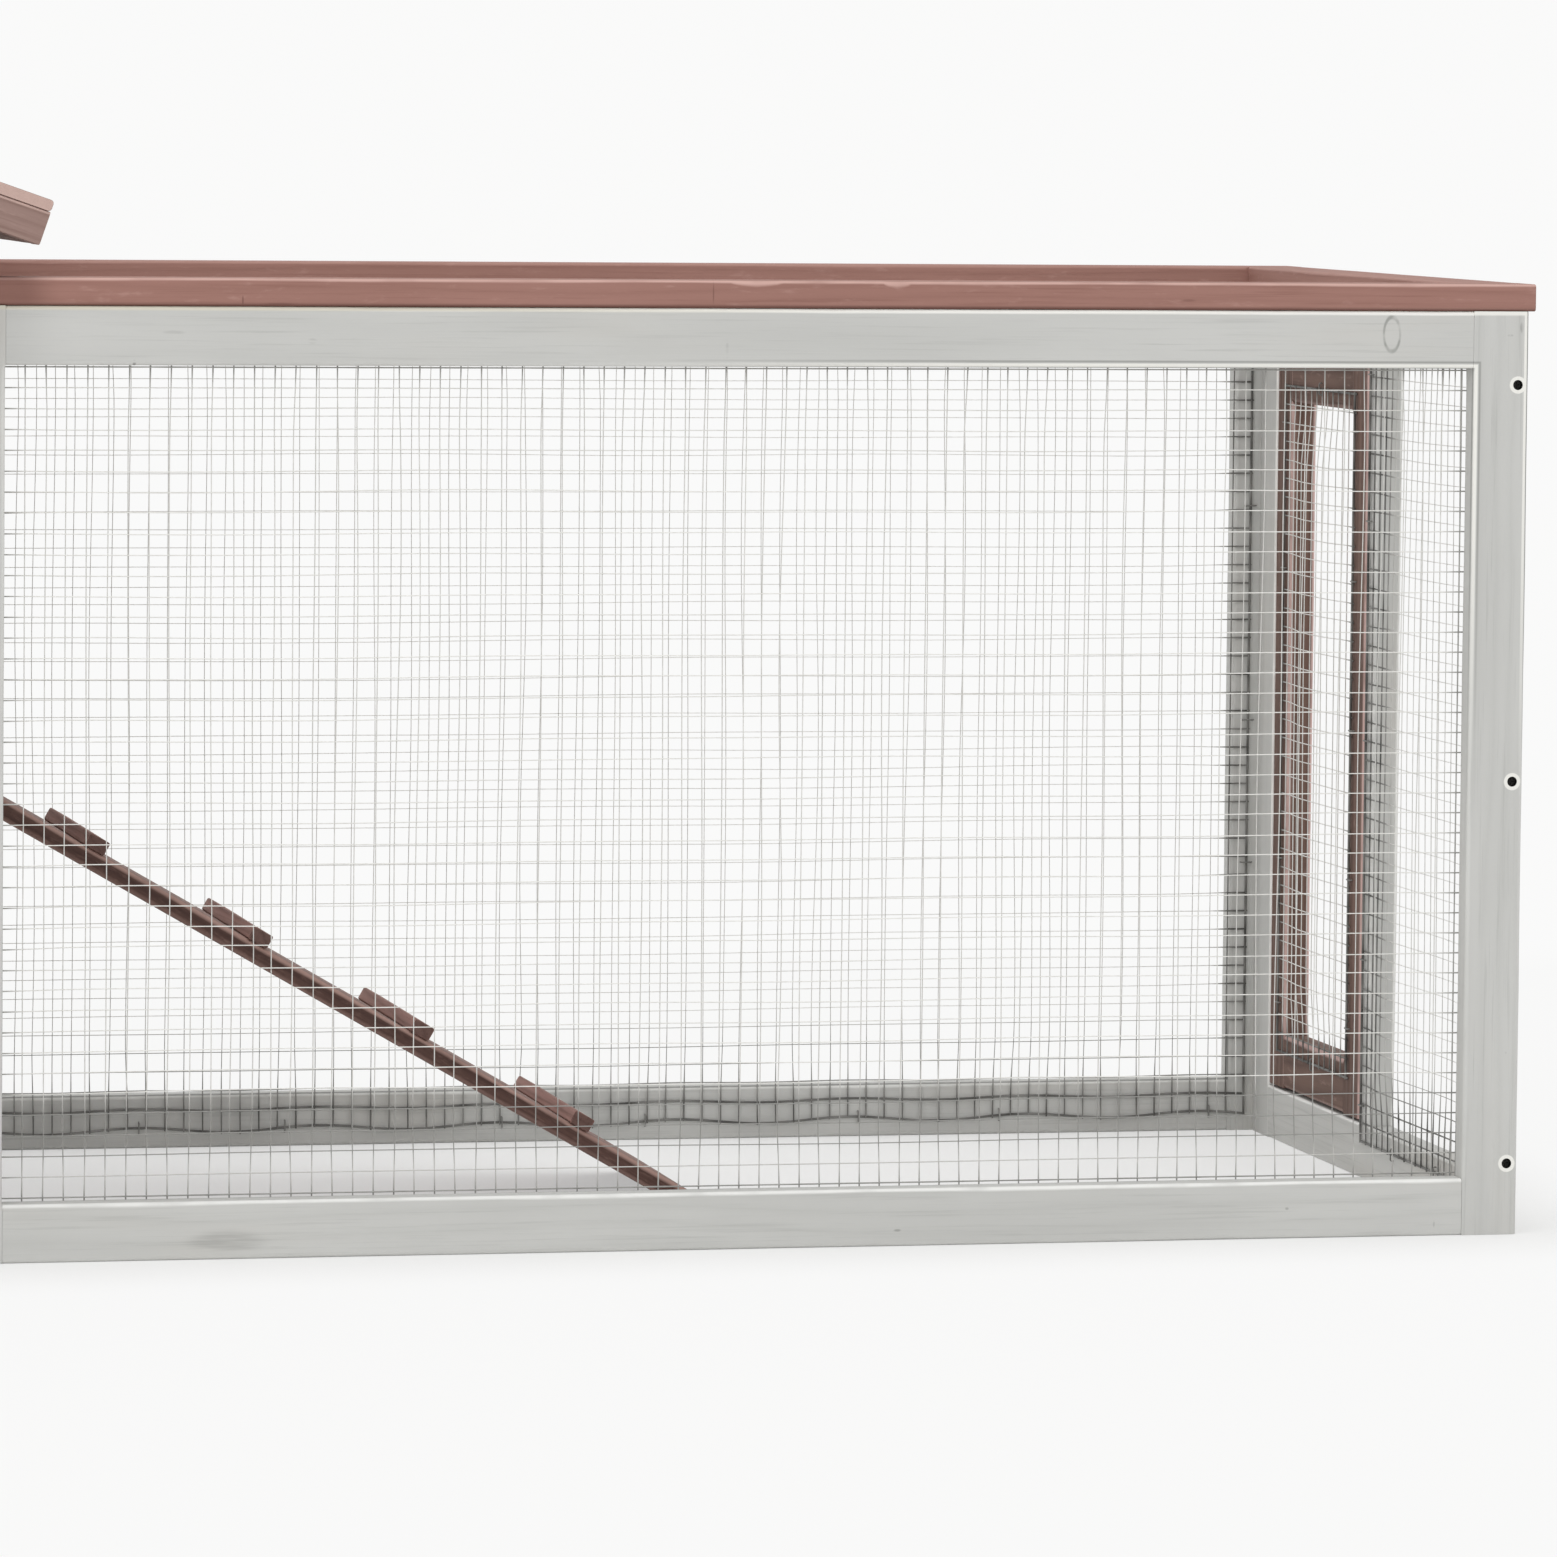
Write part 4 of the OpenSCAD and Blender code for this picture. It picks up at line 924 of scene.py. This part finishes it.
def mesh_sheet(node, body, inward, upright, hems, seed, sag=False, tarnish_and_shade=0.3, shaded_heights=(0.0, 0.07),
               gauge=WIRE):
    """A sheet of welded mesh in place of a CAD net. Its crossings start on an even grid. Each column
    and each row is moved by a step and a slow sine of its own, the whole sheet by sums of four sines,
    in and out of its plane too, and all of it dies out at the stapled edges. A lower edge that sags
    hangs between its staples as a sine squared. Hems are the widths of the strips along its sides whose
    wires are painted dull as shade: across from low and high, then upwards from low and high. The next
    argument is how dull its dullest upright wire is, partly tarnish and partly painted shade, the one
    after it the heights between which its wires get painted shade, and gauge the radius of its wires."""
    low, high = (np.array(v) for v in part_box(node))
    n = np.array(inward, float)
    thin = int(abs(n).argmax())
    v_axis, u_axis = upright, 3 - thin - upright
    wood = low[thin] if n[thin] > 0 else high[thin]
    rng = np.random.default_rng(seed)
    columns = int(round((high[u_axis] - low[u_axis] - 2 * WIRE) / MESH)) + 1
    rows = int(round((high[v_axis] - low[v_axis] - 2 * WIRE) / MESH)) + 1
    u = np.linspace(low[u_axis] + SELVAGE, high[u_axis] - SELVAGE, columns)
    v = np.linspace(low[v_axis] + SELVAGE, high[v_axis] - SELVAGE, rows)
    uu, vv = np.meshgrid(u, v)
    sides = np.stack([uu - u[0], u[-1] - uu, vv - v[0], v[-1] - vv])
    free = ease_in((sides.min(0) - STILL_EDGE) / (LOOSE_FROM - STILL_EDGE))
    shares = sides / np.reshape(hems, (4, 1, 1))
    hem = (1 - ease_in((shares - HEM_FULL) / (HEM_GONE - HEM_FULL))).max(0)
    # Painted shade on the lowest wires of upright sheets
    low_shade_share = LOW_SHADE_FOOT + (1 - LOW_SHADE_FOOT) * ease_in((vv - shaded_heights[0]) / LOW_SHADE_FADE)
    low_shade_share *= (1 - ease_in((vv - shaded_heights[1]) / LOW_SHADE_FADE)) * LOW_SHADE * (upright == 2)

    def waves():
        """Sum of four sines that run over the sheet in directions of their own."""
        ku, kv, phase = rng.uniform(4, 26, 4), rng.uniform(-22, 22, 4), rng.uniform(0, 2 * pi, 4)
        return np.sin(uu[..., None] * ku + vv[..., None] * kv + phase) @ WAVE_SHARES

    def own(count, along, step, swing):
        """Shift of each wire along the other axis: wires by places."""
        k, phase = rng.uniform(5, 19, (count, 1)), rng.uniform(0, 2 * pi, (count, 1))
        steps = rng.normal(0, step, (count, 1))
        return steps + rng.uniform(0.2, 1, (count, 1)) * swing * np.sin(along * k + phase)

    grid = np.zeros((rows, columns, 3))
    grid[..., u_axis] = uu + free * (SHEET_SWAY[0] * waves() + own(columns, v, *COLUMN_WANDER).T)
    grid[..., v_axis] = vv + free * (SHEET_SWAY[1] * waves() + own(rows, u, *ROW_WANDER))
    grid[..., thin] = wood + n[thin] * (SELVAGE + BULGE * free * (waves() + BULGE_IN))
    if sag:
        hang = np.clip(1 - (vv - v[0]) / SAG_REACH, 0, 1) ** 2
        hang *= np.sin(pi * (uu - u[0] - FIRST_STAPLE) / STAPLE_PITCH) ** 2
        grid[..., v_axis] -= SAG * hang
        grid[..., thin] += n[thin] * SAG_IN * hang

    def snipped(lines, direction):
        """Wires with ragged ends past their last crossings."""
        ends = rng.uniform(*SNIPPED, (2, len(lines), 1, 1)) * direction
        return np.concatenate([lines[:, :1] - ends[0], lines, lines[:, -1:] + ends[1]], 1)

    def ended(values):
        """The values at the crossings, with those of the snipped ends."""
        return values[:, np.r_[0, :values.shape[1], values.shape[1] - 1]]

    def dullness(at_hem, low_down, least, most):
        """How dull each wire is, between least and most, and more so at the hem and low down, where it is
        painted shade.
        """
        value = rng.uniform(least, most, (len(at_hem), 1))
        value = np.maximum(value, rng.uniform(0.75, 1, at_hem.shape) * at_hem)
        value = np.maximum(value, low_down)
        return np.repeat(ended(value), TUBE_SIDES, 1).ravel()

    def thickness(at_hem, lowest):
        """Radius of each wire at each place: lowest is that of the two lowest ones, if they differ."""
        radius = gauge + (HEM_WIRE - gauge) * rng.uniform(0.5, 1, at_hem.shape) * at_hem
        radius[:2] = np.maximum(radius[:2], lowest)
        radius[[0, -1]] = SELVAGE
        return ended(radius)

    eu, ev = np.eye(3)[u_axis], np.eye(3)[v_axis]
    hand = np.cross(eu, ev) @ n
    across, along = grid, np.swapaxes(grid, 0, 1) + 2 * gauge * n
    # Cross wires stay nearly clean. Upright wires are duller, each by its own share, partly as painted
    # shade for the light on the cross wires' upper sides
    dulled = [dullness(hem, low_shade_share, 0.0, 0.1), dullness(hem.T, low_shade_share.T, tarnish_and_shade / 2, tarnish_and_shade)]
    lowest = SAGGED_WIRE if sag else 0
    flat = tubes(snipped(across, eu), thickness(hem, lowest), TUBE_SIDES, ev * hand, n)
    tall = tubes(snipped(along, ev), thickness(hem.T, 0), TUBE_SIDES, n, eu * hand)
    co, groups = joined([flat, tall])
    show(f"{node}_wires", body, "wire_mesh", galvanised, co, groups, [node], dull=np.concatenate(dulled))


NARROW_HEMS = (0.017, 0.017, 0.017, 0.017)
BACK_HEMS = {"right": (0.030, 0.022, 0.034, 0.017), "left": (0.022, 0.030, 0.034, 0.017)}
PANE_HEMS = (0.017, 0.075, 0.045, 0.020)
END_DOOR_HEMS = (0.014, 0.014, 0.026, 0.010)
for side, sense in SIDES.items():
    mesh_sheet(f"{side}_front_mesh", "hutch", (0, 1, 0), 2, NARROW_HEMS, 20 + sense, shaded_heights=FRONT_LOW_SHADE)
    mesh_sheet(f"{side}_back_mesh", "hutch", (0, -1, 0), 2, BACK_HEMS[side], 30 + sense, sag=True,
               gauge=FINE_WIRE)
    mesh_sheet(f"{side}_end_mesh", "hutch", (-sense, 0, 0), 2, PANE_HEMS, 40 + sense, tarnish_and_shade=0.35,
               gauge=FINE_WIRE)
    mesh_sheet(f"{side}_top_mesh", "hutch", (0, 0, -1), 1, NARROW_HEMS, 50 + sense)
    mesh_sheet(f"{side}_end_door_mesh", f"{side}_end_door", (-sense, 0, 0), 2, END_DOOR_HEMS, 60 + sense)
mesh_sheet("lower_front_mesh", "hutch", (0, 1, 0), 2, NARROW_HEMS, 71, shaded_heights=FRONT_LOW_SHADE)
mesh_sheet("lower_back_mesh", "hutch", (0, -1, 0), 2, NARROW_HEMS, 72)


# Mesh staples. Bent zinc wire, driven over the outermost wires of each sheet about every 12 cm. The legs
# go into the wood, and the crown between them has rounded shoulders.
STAPLE_WIRE = 0.00055
STAPLE_RISE = 0.0026
SHOULDER = 0.0010
LEG_SUNK = 0.0005
END_DOOR_STAPLES = 5                    # beside each side of an end door's sheet
STAPLE_LOW, STAPLE_HIGH = 0.034, 0.026  # of the lowest and the highest of them, from the sheet's edge
STAPLE_DULL = 0.8


def staple_surface(middles, crown, out_of_wood, half):
    """Staples over many places at once, as tubes along a leg, a quarter circle, the crown, a quarter
    circle and a leg, in the plane of the directions crown and out_of_wood."""
    turn = np.linspace(0, pi / 2, 3)
    bend_c = SHOULDER * (1 - np.cos(turn))
    bend_h = STAPLE_RISE - STAPLE_WIRE - SHOULDER + SHOULDER * np.sin(turn)
    c = np.concatenate([[-half], -half + bend_c, (half - bend_c)[::-1], [half]])
    h = np.concatenate([[-LEG_SUNK], bend_h, bend_h[::-1], [-LEG_SUNK]])
    paths = middles[:, None] + c[:, None] * crown[:, None] + h[:, None] * out_of_wood[:, None]
    slope = np.stack([np.gradient(c), np.gradient(h)], 1)
    slope /= np.linalg.norm(slope, axis=1)[:, None]
    one = np.cross(out_of_wood, crown)[:, None, None]
    two = (slope[:, :1] * out_of_wood[:, None] - slope[:, 1:] * crown[:, None])[:, :, None]
    return tubes(paths, STAPLE_WIRE, TUBE_SIDES, -one, two)


spans = [(c.min(0), c.max(0)) for c in solids_of("mesh_staples")]
low, high = (np.array(v) for v in zip(*spans))
order = np.argsort(high - low, axis=1)
crown, leg = np.eye(3)[order[:, 2]], np.eye(3)[order[:, 1]]
middles = (low + high) / 2
to_wood = leg * np.sign(middles)
feet = middles + to_wood * ((high - low) * leg / 2)
half_crown = (high - low)[0, order[0, 2]] / 2 - STAPLE_WIRE
co, groups = staple_surface(feet, crown, -to_wood, half_crown)
show("mesh_staples_wire", "hutch", "wire_mesh", galvanised, co, groups, ["mesh_staples"],
     dull=np.full(len(co), STAPLE_DULL))

for side, sense in SIDES.items():
    low, high = (np.array(v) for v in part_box(f"{side}_end_door_mesh"))
    door_wood = (high if sense > 0 else low)[0]
    heights = np.linspace(low[2] + STAPLE_LOW, high[2] - STAPLE_HIGH, END_DOOR_STAPLES)
    beside = [[door_wood, y, z] for y in (low[1] + WIRE, high[1] - WIRE) for z in heights]
    across = [[door_wood, (low[1] + high[1]) / 2, z] for z in (low[2] + WIRE, high[2] - WIRE)]
    crown = np.array([[0, 1.0, 0]] * len(beside) + [[0, 0, 1.0]] * len(across))
    out_of_wood = np.full(crown.shape, (-sense, 0, 0), float)
    co, groups = staple_surface(np.array(beside + across), crown, out_of_wood, half_crown)
    show(f"{side}_end_door_staples", f"{side}_end_door", "wire_mesh", galvanised, co, groups,
         dull=np.full(len(co), STAPLE_DULL))


# Hinges. Each is two zinc-plated leaves round a pin, and each leaf is held by two countersunk screws
# with crossed slots.
HEAD_STEPS = 24
# Profile of a screw head from its shank up: radius and height, as shares of its own
HEAD_PROFILE = np.array([(0.45, 0), (0.45, 0), (1.0, 0), (1.0, 0.25), (0.94, 0.55), (0.80, 0.82),
                         (0.64, 0.93), (0.50, 0.97), (0.38, 0.99), (0.25, 1.0), (0.12, 1.0)])
SLOT_FROM = 5                               # ring of the profile where the crossed slot begins
SLOT_HALF, SLOT_REACH, SLOT_DEPTH = 0.19, 0.66, 0.5     # shares of the head's radius
HINGE_WOOD = 0.0033                         # from a pin's middle to the wood
LEAF = 0.0015       # thickness of a hinge leaf
LEAF_SCREW = (0.0024, 0.0006, 0.0001)       # radius and rise of the head, and length of the shank
LEAF_SCREW_SUNK = 0.0002
SCREW_ALONG = 0.62                          # share of a leaf's width where its screws sit
SCREW_SPREAD = 0.0125

zinc, tree, out = new_material("zinc plate")
place = place_on(tree)
bloom = noise(tree, place, (210, 210, 210), 4.0, 0.62)
scratch = noise(tree, place, (40, 40, 1400), 3.0, 0.5)
colour = mix(tree, step_up(tree, bloom, 0.35, 0.68), screen(150, 150, 147), screen(196, 196, 193))
colour = over(tree, colour, screen(112, 111, 108), step_up(tree, scratch, 0.6, 0.74), 0.4)
skin(tree, out, colour, {"Metallic": 0.8, "Roughness": calc(tree, "MULTIPLY_ADD", bloom, 0.28, 0.26),
                         "Normal": relief(tree, scratch, 0.2, 0.0002)})


def screw_heads(places, outs, radius, rise, shank, seed):
    """Turned screw heads: a profile of radii and heights goes round each axis, and the crossed slot is
    pressed in where a corner lies near one of two lines through the middle, less towards its sides."""
    radii, heights = HEAD_PROFILE[:, 0] * radius, HEAD_PROFILE[:, 1] * rise
    heights[0] = -shank
    angle = np.arange(HEAD_STEPS) * 2 * pi / HEAD_STEPS
    x, y = radii[:, None] * np.cos(angle), radii[:, None] * np.sin(angle)
    narrow = np.minimum(abs(x), abs(y)) / (SLOT_HALF * radius)
    long = np.maximum(abs(x), abs(y)) / (SLOT_REACH * radius)
    slot = ease_in(1.6 - 1.4 * narrow) * (long < 1) * (np.arange(len(radii)) >= SLOT_FROM)[:, None]
    z = heights[:, None] - slot * SLOT_DEPTH * radius
    outs = np.asarray(outs, float)
    one = np.cross(outs, np.where(abs(outs[:, 2:]) < 0.9, (0, 0, 1), (1.0, 0, 0)))
    one /= np.linalg.norm(one, axis=1)[:, None]
    two = np.cross(outs, one)
    spin = np.random.default_rng(seed).uniform(0, pi / 2, (len(outs), 1))
    one, two = np.cos(spin) * one + np.sin(spin) * two, np.cos(spin) * two - np.sin(spin) * one
    co = (np.asarray(places, float)[:, None, None] + x[..., None] * one[:, None, None]
          + y[..., None] * two[:, None, None] + z[..., None] * outs[:, None, None])
    return co.reshape(-1, 3), [(faces, None) for faces in ring_faces(len(outs), len(radii), HEAD_STEPS)]


def leaf_screws(pins, along, into, width, sense):
    """Places and outward directions of a leaf's two screws, for leaves at the pins that run along one
    direction and lie on wood that is further into another. Sense is -1 for the mirrored side."""
    pins, along, into = (np.array(v, float) * (sense, 1, 1) for v in (pins, along, into))
    axis = np.cross(along, into)
    shift = along * (width * SCREW_ALONG) + into * (HINGE_WOOD - LEAF + LEAF_SCREW_SUNK)
    spots = [p + shift + axis * d for p in pins for d in (-SCREW_SPREAD, SCREW_SPREAD)]
    return np.array(spots), np.repeat(-into[None], len(spots), 0)


RAMP_SLOPE, ROOF_SLOPE = radians(30), radians(19)
down_ramp, on_ramp = (cos(RAMP_SLOPE), 0, -sin(RAMP_SLOPE)), (sin(RAMP_SLOPE), 0, cos(RAMP_SLOPE))
down_roof, into_roof = (cos(ROOF_SLOPE), 0, -sin(ROOF_SLOPE)), (-sin(ROOF_SLOPE), 0, -cos(ROOF_SLOPE))
# The pins on the right side, two to each moving piece, from the middle of the hutch outwards
right_pins = [spot for spot in middles_of("hinge_pins") if spot[0] > 0]
pins_of = dict(zip(("roof", "house_door", "ramp", "end_door"), zip(right_pins[::2], right_pins[1::2])))
# Moving piece, its leaf's direction and the way into its wood, the same for the fixed leaf, width
HINGES = (("end_door", (0, -1, 0), (-1, 0, 0), (0, 1, 0), (-1, 0, 0), 0.020),
          ("house_door", (-1, 0, 0), (0, 1, 0), (1, 0, 0), (0, 1, 0), 0.020),
          ("ramp", down_ramp, on_ramp, (0, 0, 1), (-1, 0, 0), 0.016),
          ("roof", down_roof, into_roof, (0, 0, 1), (-1, 0, 0), 0.020))

fixed_places, fixed_outs = [], []
for side, sense in SIDES.items():
    for number, (piece, along, into, fixed_along, fixed_into, width) in enumerate(HINGES):
        spots, outs = leaf_screws(pins_of[piece], along, into, width, sense)
        co, groups = screw_heads(spots, outs, *LEAF_SCREW, 80 + number + sense)
        show(f"{side}_{piece}_leaf_screws", f"{side}_{piece}", "zinc_hardware", zinc, co, groups)
        finish_node(f"{side}_{piece}_leaves", zinc)
        spots, outs = leaf_screws(pins_of[piece], fixed_along, fixed_into, width, sense)
        fixed_places.append(spots)
        fixed_outs.append(outs)
co, groups = screw_heads(np.concatenate(fixed_places), np.concatenate(fixed_outs), *LEAF_SCREW, 90)
show("hinge_plate_screws", "hutch", "zinc_hardware", zinc, co, groups)
finish_node("hinge_plates", zinc)
finish_node("hinge_pins", zinc)


# Turn buttons. A round-ended wooden bar on a pivot screw holds each door: one over each end door, and
# one between the house doors. Its faces are flat and its outer edge is rounded over.
BUTTON_W, BUTTON_T, BUTTON_EDGE = 0.014, 0.007, 0.0018
BUTTON_EASE = 0.0005
BUTTON_STEPS = 16       # to a round end
ROUNDED = slice(3, 7)   # rings of the bar on its rounded edge
END_PIVOT, HOUSE_PIVOT = (1.5113, 0.026, 0.563), (0, -0.2853, 0.483)    # on the wood
END_ARM, END_TAIL, HOUSE_ARM = 0.042, 0.014, 0.035
PIVOT_SCREW = (0.0045, 0.0022, BUTTON_T + 0.0004)
PIVOT_GAP = 0.0003      # under its head


def turn_button(name, node, body, pivot, along, outward, arm, tail):
    """A bar round its pivot: rings of a stadium shape, whose offset and height follow a profile from
    the back edge over the side and the rounded edge to the face."""
    pivot, along, outward = (np.array(v, float) for v in (pivot, along, outward))
    beside = np.cross(along, outward)
    over = np.linspace(0, pi / 2, 5)
    inset = np.concatenate([[BUTTON_EASE, 0], BUTTON_EDGE * (1 - np.cos(over)), [BUTTON_W * 0.35]])
    over_side = BUTTON_T - BUTTON_EDGE + BUTTON_EDGE * np.sin(over)
    rise = np.concatenate([[0, BUTTON_EASE], over_side, [BUTTON_T]])
    half_turn = np.linspace(0, pi, BUTTON_STEPS)
    angle = np.concatenate([half_turn - pi / 2, half_turn + pi / 2])
    radius = BUTTON_W / 2
    centre = np.repeat([arm - radius, radius - tail], BUTTON_STEPS)
    r = radius - inset[:, None]
    u, w = centre + r * np.cos(angle), r * np.sin(angle)
    co = pivot + u[..., None] * along + w[..., None] * beside + rise[:, None, None] * outward
    rings, steps = u.shape
    turned_round = -1 if np.cross(along, beside) @ outward < 0 else 1
    groups = [(faces[:, ::turned_round], None) for faces in ring_faces(1, rings, steps)]
    plank = np.stack([u + luck.uniform(-3, 3), w + 0.01, np.broadcast_to(rise[:, None], u.shape)], -1)
    worn = np.zeros((rings, steps, 3))
    worn[ROUNDED, :, 0] = 1
    on_end = abs(u[0] - (arm - tail) / 2) > (arm + tail) / 2 - radius
    worn[:ROUNDED.start, :, 1] = abs(np.cos(angle)) * on_end * 0.6
    tone = np.full(rings * steps, luck.uniform(0, 1))
    show(name, body, "brown_stain", brown_stain, co.reshape(-1, 3), groups, [node],
         plank=plank.reshape(-1, 3), worn=worn.reshape(-1, 3), tone=tone)
    return pivot + outward * (BUTTON_T + PIVOT_GAP), outward


heads = []
for side, sense in SIDES.items():
    pivot = np.array(END_PIVOT) * (sense, 1, 1)
    heads.append(turn_button(f"{side}_end_button_bar", f"{side}_end_door_button", f"{side}_end_button",
                             pivot, (0, 1, 0), (sense, 0, 0), END_ARM, END_TAIL))
heads.append(turn_button("house_button_bar", "house_door_button", "house_button", HOUSE_PIVOT, (0, 0, 1),
                         (0, -1, 0), HOUSE_ARM, HOUSE_ARM))
spots, outs = zip(*heads)
co, groups = screw_heads(spots, outs, *PIVOT_SCREW, 95)
show("pivot_screws", "hutch", "zinc_hardware", zinc, co, groups, ["button_screws"])


# Ramps. A stained board with four cleats across it runs down from each side doorway to the ground.
# Its sides were sawn and drank the stain, and its edges are rounded over and pale, from wear and a
# painted highlight.
RAMP_ARRIS = 0.0032
THIN_ARRIS = 0.0012     # of thin pieces, such as the cleats

ramp_stain = stained("ramp stain", screen(164, 134, 125), screen(138, 108, 99), screen(62, 40, 35),
                     screen(176, 144, 134), screen(84, 59, 52), screen(54, 35, 31), 0.95, 0.6)
cleat_stain = stained("cleat stain", screen(176, 138, 128), screen(154, 117, 107), screen(106, 75, 67),
                      screen(142, 106, 97), screen(180, 140, 131), screen(52, 34, 30), 0.8, 0.45)
for side, sense in SIDES.items():
    slope = RAMP_SLOPE * sense
    node = f"{side}_ramp_board"
    woodwork(f"{node}_wood", [node], f"{side}_ramp", "brown_stain", ramp_stain, boards_of(node, slope),
             RAMP_ARRIS)
    node = f"{side}_ramp_cleats"
    woodwork(f"{node}_wood", [node], f"{side}_ramp", "brown_stain", cleat_stain, boards_of(node, slope),
             THIN_ARRIS)


# House. Grey frames closed with planks at the back and at the sides, a floor on bearers, gable planks
# cut to the slope of the roof, and brown plank doors in brown frames.
for node in ("house_front_frame", "house_back_frame", "house_back_wall", "house_floor", "floor_bearers",
             "gable_boards", "right_house_wall", "left_house_wall"):
    woodwork(f"{node}_boards", [node], "hutch", "grey_paint", grey_paint, boards_of(node))
for side in SIDES:
    node = f"{side}_house_door"
    woodwork(f"{node}_boards", [node], node, "brown_stain", brown_stain, boards_of(node))


# Litter tray. A shallow box of pale unpainted board slides on the house floor behind a grey front with
# a turned brown knob.
KNOB_STEPS = 40
# Profile of the knob: radius and distance from the front board, as shares of its size
KNOB_PROFILE = np.array([(0.62, 0), (0.56, 0.06), (0.50, 0.20), (0.50, 0.36), (0.60, 0.48), (0.82, 0.54),
                         (0.96, 0.60), (1.0, 0.68), (1.0, 0.78), (0.95, 0.88), (0.82, 0.95), (0.60, 0.985),
                         (0.30, 1.0), (0.06, 1.0)])
GRIPPED = slice(6, 10)      # rings of it that hands rub

tray_board = stained("bare board", screen(205, 178, 142), screen(192, 163, 126), screen(158, 124, 88),
                     screen(222, 200, 168), screen(186, 154, 116), screen(150, 116, 82), 0.5, 0.3)
boards = boards_of("litter_tray")
knob = min(boards, key=lambda board: board.size.max())
front = min((b for b in boards if b is not knob), key=lambda board: board.low[1])
box = [b for b in boards if b is not knob and b is not front]
woodwork("tray_box", ["litter_tray"], "tray", "tray_board", tray_board, box, THIN_ARRIS)
woodwork("tray_front", ["litter_tray"], "tray", "grey_paint", grey_paint, [front])

middle = (knob.low + knob.high) / 2
angle = np.arange(KNOB_STEPS) * 2 * pi / KNOB_STEPS
r = KNOB_PROFILE[:, :1] * knob.size[0] / 2
depth = knob.high[1] - KNOB_PROFILE[:, 1:] * knob.size[1]
co = np.stack([middle[0] + r * np.cos(angle), depth + 0 * angle, middle[2] + r * np.sin(angle)], -1)
worn = np.zeros(co.shape)
worn[GRIPPED, :, 0] = 0.7
co, worn = co.reshape(-1, 3), worn.reshape(-1, 3)
groups = [(faces, None) for faces in ring_faces(1, len(KNOB_PROFILE), KNOB_STEPS)]
show("tray_knob", "tray", "brown_stain", brown_stain, co, groups, ["litter_tray"], plank=co[:, [1, 0, 2]],
     worn=worn, tone=np.full(len(co), 0.4))


# Roof. Each half is planks across battens, and opens on hinges at the ridge board. It stands in the
# weather, which has greyed its stain. The planks' ends and edges are pale, worn by the weather and with a
# painted highlight where they catch the light.
DECK_ARRIS = 0.0030

roof_stain = stained("roof stain", screen(162, 134, 126), screen(146, 120, 112), screen(120, 92, 83),
                     screen(224, 194, 184), screen(196, 164, 153), screen(216, 186, 176), 0.0, 0.3)
for side, sense in SIDES.items():
    for part, arris in (("deck", DECK_ARRIS), ("battens", ARRIS)):
        node = f"{side}_roof_{part}"
        woodwork(f"{node}_boards", [node], f"{side}_roof", "brown_stain", roof_stain,
                 boards_of(node, ROOF_SLOPE * sense), arris)
woodwork("ridge_board_wood", ["ridge_board"], "hutch", "brown_stain", roof_stain, boards_of("ridge_board"))
